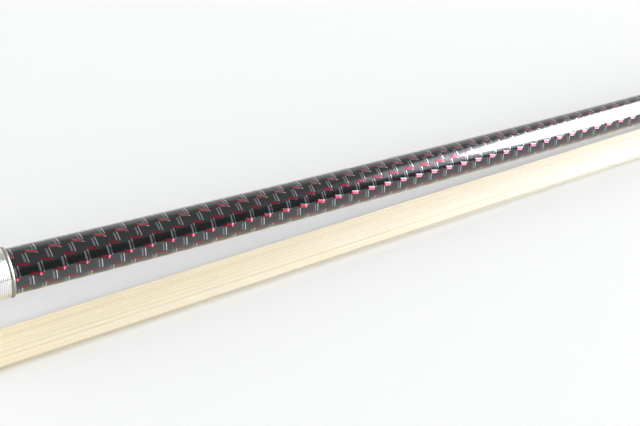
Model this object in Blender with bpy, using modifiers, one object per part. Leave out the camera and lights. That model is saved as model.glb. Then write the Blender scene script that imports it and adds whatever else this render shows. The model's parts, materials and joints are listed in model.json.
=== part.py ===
"""Violin bow, full size, standing hair down: carbon stick, frog, screw button, winding and hair.

Metres, +Z up, +X from the frog to the head. The floor is at z = 0, under the ferrule and the nose.
The handle is straight and leans nose down, so its pieces hang from an empty that carries its axis.
Along the handle, x runs from the button's end; on the frog, x runs from the frog's heel.
"""

import math

import bmesh
import bpy
from mathutils import Matrix, Vector

MM = 0.001

# Whole bow
TOTAL_LENGTH = 745 * MM  # button's end to the nose of the head
HANDLE_SLOPE = math.radians(3.26)  # the handle leans nose down against the hair
CAMBER_RADIUS = 4296 * MM  # of the stick ahead of the winding, with the hair tight
AXIS_ABOVE_HAIR = 15.5 * MM  # stick axis over the middle of the hair, at the winding's front end
GAP = 0.3 * MM  # between neighbouring pieces
OVERRUN = 2 * MM  # how far a cutter reaches past what it cuts
OVERLAP = 0.5 * MM  # of two shapes that are joined

# Stick
OCTAGON = 8.6 * MM  # across the flats under the frog
HANDLE_DIAMETER = 8.4 * MM  # where the leather starts
WINDING_DIAMETER = 7.8 * MM  # at the winding's front end
TIP_DIAMETER = 5.3 * MM  # where the head starts
TAPER_POWER = 1.6  # the stick thins faster near the handle
RING_POINTS = 24
STICK_STEP = 22 * MM  # between the rings of the curved run

# Grip
LEATHER_START = 64 * MM  # from the button's end
LEATHER_LENGTH = 24 * MM
LEATHER_WALL = 0.9 * MM
LEATHER_SKIVE = 2.5 * MM  # thinned run at each end
WINDING_FRONT = 160 * MM  # from the button's end
WINDING_WALL = 0.35 * MM
END_RING_WIDTH = 1.0 * MM

# Hair
HAIR_THICKNESS = 0.8 * MM
HAIR_WIDTH_FROG = 10.0 * MM
HAIR_WIDTH_HEAD = 8.4 * MM
HAIR_WIDTH_MORTISE = 7.0 * MM
HAIR_FAN = 6 * MM  # run over which it spreads out of a mortise
KNOT_DIAMETER = 3.0 * MM

# Head
HEAD_LENGTH = 41 * MM  # from where the stick starts to swell to the nose
PLATE_LENGTH = 26 * MM
PLATE_WIDTH = 10.4 * MM
PLATE_THICKNESS = 1.2 * MM
LINER_THICKNESS = 0.6 * MM
HEAD_SECTIONS = 14
HEAD_MORTISE_INSET = 4.5 * MM  # from the heel of the plate
HEAD_MORTISE_LENGTH = 8 * MM
HEAD_MORTISE_DEPTH = 7.5 * MM  # above the seat of the liner
MORTISE_WIDTH = 7.6 * MM
NOSE_START = 1.5 * MM  # ahead of the mortise, where the sole starts to bend down
HEEL_SQUARENESS = 0.75  # of the plate's outline towards its heel
NOSE_POINT = 0.33  # how much the plate's outline narrows towards its nose
SQUARE_EARLY = 1.4  # the head takes on the plate's outline before it reaches the plate
# Side view of the head: shares of its length, and of its height above the seat
RIDGE = [(0.20, 1.03), (0.40, 0.98), (0.58, 0.83), (0.74, 0.57), (0.87, 0.27), (1.0, 0.0)]
THROAT = [(0.13, 0.735), (0.25, 0.70), (0.32, 0.55), (0.345, 0.36), (0.355, 0.18)]

# Frog, from its heel
FROG_HEEL = 20 * MM  # from the button's end, with the hair tight
FROG_LENGTH = 44 * MM
FROG_WIDTH = 13 * MM
FROG_TOP_WIDTH = 11 * MM
CHEEK_TOP = 2.8 * MM  # below the stick's axis
LIP_REACH = 36.5 * MM  # front lip along the stick
LIP_HEIGHT = 2.2 * MM
LIP_SETBACK = 0.4 * MM  # of the lip's top
HEEL_LEAN = 2.5 * MM  # the heel's top lies this far ahead of its foot
THUMB_DEPTH = 5 * MM  # how far the thumb hollow bites behind the lip
THUMB_STEPS = 12
FERRULE_LENGTH = 11 * MM
FERRULE_WIDTH = 12.6 * MM
FERRULE_HEIGHT = 8.4 * MM
FERRULE_SPRING = 3.0 * MM  # height of its straight sides
FERRULE_WALL = 0.7 * MM
FERRULE_FLOOR = 0.8 * MM
ARCH_STEPS = 12
TONGUE_FLOOR = 3.6 * MM  # underside of the tongue above the sole
TONGUE_INSET = 0.8 * MM  # its end behind the ferrule's mouth
WEDGE_LENGTH = 6 * MM
HEEL_PLATE_LENGTH = 9 * MM
HEEL_PLATE_HEIGHT = 9 * MM
HEEL_PLATE_WALL = 0.8 * MM
HEEL_PLATE_SETBACK = 0.1 * MM  # its edges inside the frog's flanks
HEEL_PIN_PLACE = 5.5 * MM  # of the two pins under the heel, ahead of its back
HEEL_PIN_SPREAD = 7 * MM  # between those two
HEEL_PIN_RISE = 5.6 * MM  # of the pin at the back, above the sole
PEARL_THICKNESS = 0.9 * MM
PEARL_WIDTH = 9.6 * MM
BACKING_THICKNESS = 1.0 * MM
BACKING_WIDTH = 10.8 * MM
FROG_MORTISE_START = 13.5 * MM
FROG_MORTISE_LENGTH = 8 * MM
FROG_MORTISE_DEPTH = 9 * MM
PLUG_HEIGHT = 5 * MM
UNDERSLIDE_WALL = 0.5 * MM
UNDERSLIDE_START = 3.2 * MM
UNDERSLIDE_LENGTH = 32.5 * MM
UNDERSLIDE_PIN_REAR = 4 * MM  # ahead of its back end
UNDERSLIDE_PIN_FRONT = 4.5 * MM  # behind the deepest point of the thumb hollow
PIN_DIAMETER = 1.2 * MM
PIN_LENGTH = 3 * MM
EYE_PLACE = 22 * MM
EYE_DROP = 12.5 * MM  # below the stick's axis
EYE_DIAMETER = 4.4 * MM
EYE_RING_DIAMETER = 6.6 * MM
EYE_RING_BORE = 5.0 * MM
EYE_DEPTH = 1.0 * MM

# Screw, eyelet and button
SCREW_DIAMETER = 3.0 * MM
SCREW_END = 58 * MM  # from the button's end
SCREW_HEAD_INSET = 1.9 * MM
TRAVEL_BACK = 1.1 * MM  # frog travel to the highest tension
TRAVEL_FORWARD = 4.2 * MM  # and to slack hair
EYELET_PLACE = 16 * MM  # on the frog
EYELET_LENGTH = 5 * MM
EYELET_WIDTH = 4.0 * MM
EYELET_HEIGHT = 4.8 * MM
EYELET_STEM = 3.0 * MM
EYELET_DEPTH = 9.0 * MM  # foot of its stem below the stick's axis
BUTTON_LENGTH = 13.7 * MM
BUTTON_ACROSS = 8.4 * MM
BUTTON_EDGE = 0.35 * MM
CORE_ACROSS = 8.0 * MM
COLLAR_LENGTH = 3.1 * MM
CAP_LENGTH = 3.6 * MM
BUTTON_EYE_DIAMETER = 4.4 * MM
BUTTON_EYE_DEPTH = 0.9 * MM
BUSHING_DIAMETER = 5.0 * MM
BUSHING_LENGTH = 6 * MM

# What follows from them
CAMBER = 1 / CAMBER_RADIUS
HAIR_MIDDLE = FERRULE_FLOOR + GAP + HAIR_THICKNESS / 2  # above the floor
AXIS_HEIGHT = HAIR_MIDDLE + AXIS_ABOVE_HAIR
RUN_LENGTH = TOTAL_LENGTH - WINDING_FRONT
HANDLE_BACK = WINDING_FRONT * math.cos(HANDLE_SLOPE)
BUTTON_LEAN = BUTTON_ACROSS / 2 * math.sin(HANDLE_SLOPE)
WINDING_X = (HANDLE_BACK + BUTTON_LEAN - RUN_LENGTH) / 2  # so that the bow's middle is at x = 0
STICK_START = BUTTON_LENGTH + GAP
HEAD_START = TOTAL_LENGTH - HEAD_LENGTH
SOLE_DROP = (
    AXIS_HEIGHT + (WINDING_FRONT - FROG_HEEL - FROG_LENGTH) * math.sin(HANDLE_SLOPE)
) / math.cos(HANDLE_SLOPE)  # stick axis down to the ferrule's sole, square to the axis
PLATE_FACE = HAIR_MIDDLE + HAIR_THICKNESS / 2 + GAP  # outer face of the head plate
HEAD_SEAT = PLATE_FACE + PLATE_THICKNESS + LINER_THICKNESS + 2 * GAP
BORE_RADIUS = SCREW_DIAMETER / 2 + GAP
SLIDE_TOP = PEARL_THICKNESS + GAP + BACKING_THICKNESS  # above the sole
HAIR_OVER_SLIDE = SLIDE_TOP + GAP + HAIR_THICKNESS / 2
WRAP = GAP + HAIR_THICKNESS / 2  # hair's middle round the edge of a mortise


def shift(drop):
    """A height above the sole as a z on the frog."""
    return drop - SOLE_DROP


def new_collection(name):
    collection = bpy.data.collections.new(name)
    bpy.context.scene.collection.children.link(collection)
    return collection


def new_material(name, colour, roughness, metallic=0.0):
    material = bpy.data.materials.new(name)
    material.use_nodes = True
    surface = material.node_tree.nodes["Principled BSDF"]
    surface.inputs["Base Color"].default_value = (*colour, 1)
    surface.inputs["Roughness"].default_value = roughness
    surface.inputs["Metallic"].default_value = metallic
    material.diffuse_color = (*colour, 1)
    return material


def new_object(name, mesh, parent, material):
    """A piece where material is given, else a cutter."""
    thing = bpy.data.objects.new(name, mesh)
    thing.parent = parent
    if material:
        mesh.materials.append(material)
        mesh.shade_smooth()
        mesh.set_sharp_from_angle(angle=math.radians(35))
        bow.objects.link(thing)
        return thing
    thing.hide_render = True
    thing.display_type = "WIRE"
    cutters.objects.link(thing)
    return thing


def from_bmesh(name, bm, parent, material):
    bmesh.ops.recalc_face_normals(bm, faces=bm.faces)
    mesh = bpy.data.meshes.new(name)
    bm.to_mesh(mesh)
    bm.free()
    return new_object(name, mesh, parent, material)


def box(name, low, high, parent, material=None):
    size = Vector(high) - Vector(low)
    middle = (Vector(high) + Vector(low)) / 2
    bm = bmesh.new()
    place = Matrix.Translation(middle) @ Matrix.Diagonal((*size, 1))
    bmesh.ops.create_cube(bm, size=1, matrix=place)
    return from_bmesh(name, bm, parent, material)


def rod(name, radius, start, end, parent, material=None, sides=24):
    """A bar along X. With 8 sides its radius is half of its width across the flats."""
    bm = bmesh.new()
    turn = Matrix.Rotation(math.pi / 2, 4, "Y") @ Matrix.Rotation(math.pi / sides, 4, "Z")
    if sides == 8:
        radius = radius / math.cos(math.pi / 8)
    place = Matrix.Translation(((start + end) / 2, 0, 0)) @ turn
    bmesh.ops.create_cone(
        bm, cap_ends=True, segments=sides, radius1=radius, radius2=radius,
        depth=end - start, matrix=place,
    )
    return from_bmesh(name, bm, parent, material)


def stud(name, radius, foot, axis, length, parent, material=None, sides=20):
    """A round bar from its foot along an axis."""
    bm = bmesh.new()
    middle = Vector(foot) + Vector(axis) * length / 2
    turn = Vector(axis).to_track_quat("Z", "Y").to_matrix().to_4x4()
    place = Matrix.Translation(middle) @ turn
    bmesh.ops.create_cone(
        bm, cap_ends=True, segments=sides, radius1=radius, radius2=radius,
        depth=length, matrix=place,
    )
    return from_bmesh(name, bm, parent, material)


def slab(name, outlines, low, high, normal, parent, material=None):
    """Flat outlines filled and given a thickness from low to high along X or Y."""
    curve = bpy.data.curves.new(name, "CURVE")
    curve.dimensions = "2D"
    curve.fill_mode = "BOTH"
    curve.extrude = (high - low) / 2
    for outline in outlines:
        spline = curve.splines.new("POLY")
        spline.points.add(len(outline) - 1)
        for point, (across, up) in zip(spline.points, outline):
            point.co = (across, up, 0, 1)
        spline.use_cyclic_u = True
    guide = bpy.data.objects.new(name + "_guide", curve)
    bow.objects.link(guide)
    bpy.context.view_layer.update()
    graph = bpy.context.evaluated_depsgraph_get()
    mesh = bpy.data.meshes.new_from_object(guide.evaluated_get(graph))
    bpy.data.objects.remove(guide)
    middle = (high + low) / 2
    if normal == "X":
        turn = Matrix(((0, 0, 1), (1, 0, 0), (0, 1, 0))).to_4x4()
        place = Matrix.Translation((middle, 0, 0))
    else:
        turn = Matrix(((1, 0, 0), (0, 0, -1), (0, 1, 0))).to_4x4()
        place = Matrix.Translation((0, middle, 0))
    bm = bmesh.new()
    bm.from_mesh(mesh)
    bpy.data.meshes.remove(mesh)
    bmesh.ops.remove_doubles(bm, verts=bm.verts, dist=0.001 * MM)
    bm.transform(place @ turn)
    return from_bmesh(name, bm, parent, material)


def loft(name, rings, parent, material=None, strip_end=False):
    """A skin over rings of points. The last ring is closed in strips across, or as one face."""
    bm = bmesh.new()
    rows = [[bm.verts.new(point) for point in ring] for ring in rings]
    count = len(rows[0])
    for near, far in zip(rows, rows[1:]):
        for i in range(count):
            j = (i + 1) % count
            bm.faces.new((near[i], near[j], far[j], far[i]))
    bm.faces.new(rows[0])
    if strip_end:
        for i in range(count // 2 - 1):
            j = count - 1 - i
            bm.faces.new((rows[-1][i], rows[-1][i + 1], rows[-1][j - 1], rows[-1][j]))
    else:
        bm.faces.new(rows[-1])
    bmesh.ops.recalc_face_normals(bm, faces=bm.faces)
    return from_bmesh(name, bm, parent, material)


def turned(name, profile, parent, material, steps=24):
    """A closed profile of (x, radius) points swept round the X axis."""
    mesh = bpy.data.meshes.new(name)
    points = [(radius, 0, x) for x, radius in profile]
    edges = [(i, (i + 1) % len(points)) for i in range(len(points))]
    mesh.from_pydata(points, edges, [])
    thing = new_object(name, mesh, parent, material)
    thing.rotation_euler = (0, math.pi / 2, 0)
    screw = thing.modifiers.new("Turn", "SCREW")
    screw.axis = "Z"
    screw.steps = steps
    screw.render_steps = steps
    screw.use_merge_vertices = True
    screw.merge_threshold = 0.01 * MM
    screw.use_smooth_shade = True
    return thing


def cut(target, cutter, operation="DIFFERENCE"):
    step = target.modifiers.new(cutter.name, "BOOLEAN")
    step.operation = operation
    step.object = cutter
    step.solver = "EXACT"


def soften(thing, width, segments=1):
    edge = thing.modifiers.new("Edge", "BEVEL")
    edge.width = width
    edge.segments = segments
    edge.limit_method = "ANGLE"
    edge.angle_limit = math.radians(40)


def catmull(points, share):
    """A point at a share of the way along a smooth curve through the points."""
    ends = [2 * points[0] - points[1], *points, 2 * points[-1] - points[-2]]
    place = share * (len(points) - 1)
    i = min(int(place), len(points) - 2)
    t = place - i
    a, b, c, d = ends[i : i + 4]
    return 0.5 * (
        2 * b + (c - a) * t + (2 * a - 5 * b + 4 * c - d) * t**2 + (3 * b - a - 3 * c + d) * t**3
    )


def ease(share):
    share = min(max(share, 0.0), 1.0)
    return share * share * (3 - 2 * share)


def axis_point(x):
    """The stick's axis in the world, and its direction, at a distance from the button's end."""
    if x <= WINDING_FRONT:
        back = WINDING_FRONT - x
        along = Vector((math.cos(HANDLE_SLOPE), 0, -math.sin(HANDLE_SLOPE)))
        return Vector((WINDING_X, 0, AXIS_HEIGHT)) - along * back, along
    run = x - WINDING_FRONT
    slope = -math.tan(HANDLE_SLOPE) + CAMBER * run
    height = AXIS_HEIGHT - math.tan(HANDLE_SLOPE) * run + CAMBER * run**2 / 2
    return Vector((WINDING_X + run, 0, height)), Vector((1, 0, slope)).normalized()


def stick_radius(x):
    """Radius of the round stick: a straight taper on the handle, then a curved one to the head."""
    if x <= WINDING_FRONT:
        share = (x - LEATHER_START) / (WINDING_FRONT - LEATHER_START)
        return (HANDLE_DIAMETER + (WINDING_DIAMETER - HANDLE_DIAMETER) * share) / 2
    share = (x - WINDING_FRONT) / (HEAD_START - WINDING_FRONT)
    swell = (WINDING_DIAMETER - TIP_DIAMETER) * (1 - share) ** TAPER_POWER
    return (TIP_DIAMETER + swell) / 2


def ring_angles():
    """From the stick's top round to its side, in mirrored pairs: the first goes with the last."""
    return [2 * math.pi * (i + 0.5) / RING_POINTS for i in range(RING_POINTS)]


def stick_ring(x, radius=None):
    """Points round the stick: an octagon where no radius is given."""
    middle, along = axis_point(x)
    up = Vector((-along.z, 0, along.x))
    side = Vector((0, 1, 0))
    ring = []
    for angle in ring_angles():
        reach = radius
        if radius is None:
            off_flat = (angle + math.pi / 8) % (math.pi / 4) - math.pi / 8
            reach = OCTAGON / 2 / math.cos(off_flat)
        ring.append(middle + (up * math.cos(angle) + side * math.sin(angle)) * reach)
    return ring


def nose_drop(x):
    """How far the head's sole has come down to the floor at a world x ahead of its mortise."""
    flat_end = head_x(1) - PLATE_LENGTH + HEAD_MORTISE_INSET + HEAD_MORTISE_LENGTH + NOSE_START
    share = max(x - flat_end, 0) / (head_x(1) - flat_end)
    return PLATE_FACE * share**2


def head_x(share):
    """World x at a share of the head's length."""
    return axis_point(HEAD_START)[0].x + HEAD_LENGTH * share


def head_outline(angle, squareness):
    """(place, width) round a section of the head: a circle, or the plate's outline at 1."""
    outer = math.cos(angle) > 0
    place_power = 1.0 if outer else 1 - HEEL_SQUARENESS * squareness
    width_power = 1 + NOSE_POINT * squareness if outer else place_power
    place = math.copysign(abs(math.cos(angle)) ** place_power, math.cos(angle))
    width = math.copysign(abs(math.sin(angle)) ** width_power, math.sin(angle))
    return place, width


def head_rings():
    """Sections that swing from the stick's end round the throat to the seat of the liner."""
    first = stick_ring(HEAD_START, stick_radius(HEAD_START))
    half = RING_POINTS // 2
    top = (first[0] + first[-1]) / 2
    foot = (first[half - 1] + first[half]) / 2
    height = top.z - HEAD_SEAT
    ridge = [top] + [Vector((head_x(x), 0, HEAD_SEAT + z * height)) for x, z in RIDGE]
    heel = Vector((head_x(1) - PLATE_LENGTH, 0, HEAD_SEAT))
    throat = [foot] + [Vector((head_x(x), 0, HEAD_SEAT + z * height)) for x, z in THROAT]
    throat.append(heel)
    rings = []
    for i in range(1, HEAD_SECTIONS + 1):
        share = i / HEAD_SECTIONS
        outer = catmull(ridge, share)
        inner = catmull(throat, share)
        width = TIP_DIAMETER / 2 + (PLATE_WIDTH - TIP_DIAMETER) / 2 * ease(share)
        ring = []
        for angle in ring_angles():
            place, side = head_outline(angle, ease(share * SQUARE_EARLY))
            point = (outer + inner) / 2 + (outer - inner) / 2 * place
            point.y = width * side
            fade = min(max(1 - (point.z - HEAD_SEAT) / (height / 2), 0), 1)
            point.z -= nose_drop(point.x) * fade
            ring.append(point)
        rings.append(ring)
    return rings


def make_stick():
    seat_start = LEATHER_START - GAP
    seat_end = WINDING_FRONT + GAP
    rings = [stick_ring(STICK_START), stick_ring(seat_start)]
    for x in (seat_start, (seat_start + seat_end) / 2, seat_end):
        rings.append(stick_ring(x, stick_radius(x) - GAP))
    count = math.ceil((HEAD_START - seat_end) / STICK_STEP)
    for i in range(count + 1):
        x = seat_end + (HEAD_START - seat_end) * i / count
        rings.append(stick_ring(x, stick_radius(x)))
    stick = loft("stick", rings + head_rings(), None, carbon, strip_end=True)

    bore = rod("cut_bore", BORE_RADIUS, STICK_START - OVERRUN, SCREW_END + GAP, handle)
    cut(stick, bore)
    counterbore = BUSHING_DIAMETER / 2 + GAP
    reach = STICK_START + BUSHING_LENGTH + GAP
    cut(stick, rod("cut_bushing", counterbore, STICK_START - OVERRUN, reach, handle))
    slot_back = FROG_HEEL + EYELET_PLACE - EYELET_LENGTH / 2 - TRAVEL_BACK - 2 * GAP
    slot_front = FROG_HEEL + EYELET_PLACE + EYELET_LENGTH / 2 + TRAVEL_FORWARD + 2 * GAP
    half = EYELET_WIDTH / 2 + GAP
    top = EYELET_HEIGHT / 2 + GAP
    cut(stick, box("cut_slot", (slot_back, -half, -OCTAGON), (slot_front, half, top), handle))
    low, high = head_mortise()
    cut(stick, box("cut_head_mortise", low, high, None))

    reach = STICK_START + BUSHING_LENGTH
    bushing = rod("butt_bushing", BUSHING_DIAMETER / 2, STICK_START, reach, handle, brass)
    cut(bushing, bore)


def head_mortise():
    """Corners of the head's mortise, from under the plate up."""
    back = head_x(1) - PLATE_LENGTH + HEAD_MORTISE_INSET
    half = MORTISE_WIDTH / 2
    low = (back, -half, -OVERRUN)
    high = (back + HEAD_MORTISE_LENGTH, half, HEAD_SEAT + HEAD_MORTISE_DEPTH)
    return low, high


def head_plate(name, bottom, thickness, material):
    """A plate with the head's outline that follows its bend down to the nose."""
    middle = head_x(1) - PLATE_LENGTH / 2
    rings = []
    for angle in ring_angles()[: RING_POINTS // 2]:
        place, side = head_outline(angle, 1.0)
        x = middle + PLATE_LENGTH / 2 * place
        half = PLATE_WIDTH / 2 * side
        low = bottom - nose_drop(x)
        corners = ((-half, low), (half, low), (half, low + thickness), (-half, low + thickness))
        rings.append([(x, y, z) for y, z in corners])
    plate = loft(name, rings, None, material)
    low, high = head_mortise()
    cut(plate, box("cut_" + name, low, high, None))
    return plate


def make_tip():
    head_plate("tip_liner", PLATE_FACE + PLATE_THICKNESS + GAP, LINER_THICKNESS, ebony)
    head_plate("tip_plate", PLATE_FACE, PLATE_THICKNESS, bone)
    low, high = head_mortise()
    hair_room = 2 * GAP + HAIR_THICKNESS
    plug_top = HEAD_SEAT + HEAD_MORTISE_DEPTH - KNOT_DIAMETER - 2 * GAP
    plug_low = (low[0] + hair_room, low[1] + GAP, PLATE_FACE)
    plug_high = (high[0] - GAP, high[1] - GAP, plug_top)
    box("tip_plug", plug_low, plug_high, None, maple)
    radius = KNOT_DIAMETER / 2
    width = HAIR_WIDTH_MORTISE
    foot = (low[0] + GAP + radius, -width / 2, high[2] - GAP - radius)
    stud("tip_hair_knot", radius, foot, (0, 1, 0), width, None, thread)


def make_grip():
    end = LEATHER_START + LEATHER_LENGTH
    skive = LEATHER_SKIVE
    inner = stick_radius
    thin = LEATHER_WALL / 2
    profile = [
        (end, inner(end)),
        (end, inner(end) + thin),
        (end - skive, inner(end - skive) + LEATHER_WALL),
        (LEATHER_START + skive, inner(LEATHER_START + skive) + LEATHER_WALL),
        (LEATHER_START, inner(LEATHER_START) + thin),
        (LEATHER_START, inner(LEATHER_START)),
    ]
    turned("thumb_leather", profile, handle, leather)
    ring_back = WINDING_FRONT - END_RING_WIDTH
    for name, back, front, material in (
        ("winding", end + GAP, ring_back - GAP, silver),
        ("winding_end_ring", ring_back, WINDING_FRONT, dull_silver),
    ):
        profile = [
            (front, inner(front)),
            (front, inner(front) + WINDING_WALL),
            (back, inner(back) + WINDING_WALL),
            (back, inner(back)),
        ]
        turned(name, profile, handle, material, steps=32)


def make_screw():
    radius = SCREW_DIAMETER / 2
    rod("screw", radius, SCREW_HEAD_INSET, SCREW_END, screw_turn, steel)
    core_start = CAP_LENGTH + GAP
    collar_start = BUTTON_LENGTH - COLLAR_LENGTH
    bore_end = BUTTON_LENGTH + OVERRUN
    bore = rod("cut_button_bore", BORE_RADIUS, SCREW_HEAD_INSET - GAP, bore_end, screw_turn)
    for name, across, start, end, material in (
        ("button_cap", BUTTON_ACROSS, 0, CAP_LENGTH, silver),
        ("button_core", CORE_ACROSS, core_start, collar_start - GAP, ebony),
        ("button_collar", BUTTON_ACROSS, collar_start, BUTTON_LENGTH, silver),
    ):
        piece = rod(name, across / 2, start, end, screw_turn, material, sides=8)
        soften(piece, BUTTON_EDGE)
        cut(piece, bore)
        if start == 0:
            pocket = BUTTON_EYE_DEPTH + GAP
            radius = BUTTON_EYE_DIAMETER / 2 + GAP
            cut(piece, rod("cut_button_eye", radius, -OVERRUN, pocket, screw_turn))
    rod("button_eye", BUTTON_EYE_DIAMETER / 2, 0, BUTTON_EYE_DEPTH, screw_turn, pearl)


def flank(z):
    """Half width of the frog at a z under the stick's axis."""
    share = (z + SOLE_DROP) / (SOLE_DROP - CHEEK_TOP)
    return (FROG_WIDTH + (FROG_TOP_WIDTH - FROG_WIDTH) * share) / 2


def ferrule_outline(inset, floor):
    """D-shaped outline of the ferrule, inset on its arch and sides, and cut flat at the floor."""
    half = FERRULE_WIDTH / 2 - inset
    rise = FERRULE_HEIGHT - FERRULE_SPRING - inset
    above = max(floor - FERRULE_SPRING, 0) / rise
    first = math.asin(above)
    points = []
    for i in range(ARCH_STEPS + 1):
        angle = first + (math.pi - 2 * first) * i / ARCH_STEPS
        points.append((half * math.cos(angle), shift(FERRULE_SPRING + rise * math.sin(angle))))
    if floor < FERRULE_SPRING:
        points += [(-half, shift(floor)), (half, shift(floor))]
    return points


def frog_side():
    """Side outline of the frog's block, from its heel to the ferrule's back."""
    front = FROG_LENGTH - FERRULE_LENGTH - GAP
    lip_foot = -CHEEK_TOP - LIP_HEIGHT
    bite = LIP_REACH - THUMB_DEPTH
    hollow_foot = shift(FERRULE_HEIGHT)
    top_heel = shift(HEEL_PLATE_HEIGHT + GAP)
    points = [(0, shift(0)), (front, shift(0)), (front, hollow_foot)]
    for i in range(1, THUMB_STEPS):
        share = i / THUMB_STEPS
        swing = math.sin(math.pi * share)
        straight = front + (LIP_REACH - front) * share
        depth = straight - bite
        points.append((straight - depth * swing, hollow_foot + (lip_foot - hollow_foot) * share))
    points += [(LIP_REACH, lip_foot), (LIP_REACH - LIP_SETBACK, -CHEEK_TOP)]
    points += [(HEEL_LEAN, -CHEEK_TOP), (HEEL_LEAN / 4, (top_heel - CHEEK_TOP) / 2), (0, top_heel)]
    return points


def make_frog():
    half = FROG_WIDTH / 2
    top_half = FROG_TOP_WIDTH / 2
    body = slab("frog_body", [frog_side()], -half, half, "Y", frog_slide, ebony)
    section = [(-half, shift(0)), (half, shift(0)), (top_half, -CHEEK_TOP), (-top_half, -CHEEK_TOP)]
    keep = slab("keep_flanks", [section], -OVERRUN, FROG_LENGTH + OVERRUN, "X", frog_slide)
    cut(body, keep, "INTERSECT")
    ferrule_back = FROG_LENGTH - FERRULE_LENGTH
    outline = ferrule_outline(FERRULE_WALL + GAP, TONGUE_FLOOR)
    start = ferrule_back - OVERRUN
    end = FROG_LENGTH - TONGUE_INSET
    cut(body, slab("join_tongue", [outline], start, end, "X", frog_slide), "UNION")

    channel = OCTAGON / 2 + UNDERSLIDE_WALL + 2 * GAP
    cut(body, rod("cut_channel", channel, -OVERRUN, FROG_LENGTH, frog_slide, sides=8))
    slide_back = HEEL_PLATE_LENGTH + GAP
    slide_front = ferrule_back - GAP
    floor = shift(-OVERRUN)
    width = BACKING_WIDTH / 2 + GAP
    low = (slide_back - GAP, -width, floor)
    high = (ferrule_back + OVERRUN, width, shift(SLIDE_TOP + GAP))
    cut(body, box("cut_slide", low, high, frog_slide))
    mortise_end = FROG_MORTISE_START + FROG_MORTISE_LENGTH
    width = HAIR_WIDTH_FROG / 2 + GAP
    belly = shift(HAIR_OVER_SLIDE + WRAP)
    low = (mortise_end - OVERRUN, -width, floor)
    cut(body, box("cut_hair", low, (ferrule_back + OVERRUN, width, belly), frog_slide))
    width = MORTISE_WIDTH / 2
    roof = belly + FROG_MORTISE_DEPTH
    low = (FROG_MORTISE_START, -width, floor)
    cut(body, box("cut_mortise", low, (mortise_end, width, roof), frog_slide))
    wall = HEEL_PLATE_WALL + GAP
    low = (-OVERRUN, -FROG_WIDTH, floor)
    high = (HEEL_PLATE_LENGTH + GAP, FROG_WIDTH, shift(wall))
    cut(body, box("cut_heel_foot", low, high, frog_slide))
    high = (wall, FROG_WIDTH, shift(HEEL_PLATE_HEIGHT + GAP))
    cut(body, box("cut_heel_back", low, high, frog_slide))
    stem = EYELET_STEM / 2 + GAP
    place = (EYELET_PLACE, 0, 0)
    cut(body, stud("cut_stem", stem, place, (0, 0, -1), EYELET_DEPTH + GAP, frog_slide))

    make_underslide(body)
    make_slide(slide_back, slide_front)
    make_ferrule(belly, mortise_end, roof)
    make_heel(body)
    for side, word in ((-1, "right"), (1, "left")):
        make_eye(body, side, word)
    make_eyelet()


def make_underslide(body):
    inner = OCTAGON / 2 + GAP
    outer = inner + UNDERSLIDE_WALL
    start = UNDERSLIDE_START
    end = start + UNDERSLIDE_LENGTH
    down = (0, 0, -1)
    piece = rod("underslide", outer, start, end, frog_slide, silver, sides=8)
    cut(piece, rod("cut_underslide", inner, start - OVERRUN, end + OVERRUN, frog_slide, sides=8))
    low = (start - OVERRUN, -OCTAGON, -CHEEK_TOP)
    cut(piece, box("cut_underslide_top", low, (end + OVERRUN, OCTAGON, OCTAGON), frog_slide))
    stem = EYELET_STEM / 2 + GAP
    place = (EYELET_PLACE, 0, 0)
    cut(piece, stud("cut_underslide_stem", stem, place, down, EYELET_DEPTH, frog_slide))
    head = -inner - UNDERSLIDE_WALL / 2
    depth = PIN_LENGTH - head + GAP
    radius = PIN_DIAMETER / 2
    rear = start + UNDERSLIDE_PIN_REAR
    front = LIP_REACH - THUMB_DEPTH - UNDERSLIDE_PIN_FRONT
    for word, x in (("rear", rear), ("front", front)):
        hole = stud("cut_pin_" + word, radius + GAP, (x, 0, 0), down, depth, frog_slide)
        cut(piece, hole)
        cut(body, hole)
        name = "underslide_pin_" + word
        stud(name, radius, (x, 0, head), down, PIN_LENGTH, frog_slide, silver, sides=12)


def make_slide(back, front):
    half = PEARL_WIDTH / 2
    low = (back, -half, shift(0))
    box("pearl_slide", low, (front, half, shift(PEARL_THICKNESS)), frog_slide, pearl)
    half = BACKING_WIDTH / 2
    low = (back, -half, shift(PEARL_THICKNESS + GAP))
    box("slide_backing", low, (front, half, shift(SLIDE_TOP)), frog_slide, ebony)


def make_ferrule(belly, mortise_end, roof):
    outlines = [ferrule_outline(0, 0), ferrule_outline(FERRULE_WALL, FERRULE_FLOOR)]
    start = FROG_LENGTH - FERRULE_LENGTH
    slab("ferrule", outlines, start, FROG_LENGTH, "X", frog_slide, silver)
    low = HAIR_THICKNESS + FERRULE_FLOOR + 2 * GAP
    half = HAIR_WIDTH_FROG / 2
    corner = (FROG_LENGTH - WEDGE_LENGTH - GAP, -half, shift(low))
    box("spread_wedge", corner, (FROG_LENGTH - GAP, half, shift(TONGUE_FLOOR - GAP)), frog_slide, maple)
    half = MORTISE_WIDTH / 2 - GAP
    hair_room = 2 * GAP + HAIR_THICKNESS
    plug_low = (FROG_MORTISE_START + GAP, -half, shift(SLIDE_TOP + GAP))
    plug_high = (mortise_end - hair_room, half, belly + PLUG_HEIGHT)
    box("frog_plug", plug_low, plug_high, frog_slide, maple)
    radius = KNOT_DIAMETER / 2
    width = HAIR_WIDTH_MORTISE
    foot = (mortise_end - GAP - radius, -width / 2, roof - GAP - radius)
    stud("frog_hair_knot", radius, foot, (0, 1, 0), width, frog_slide, thread)


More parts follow.
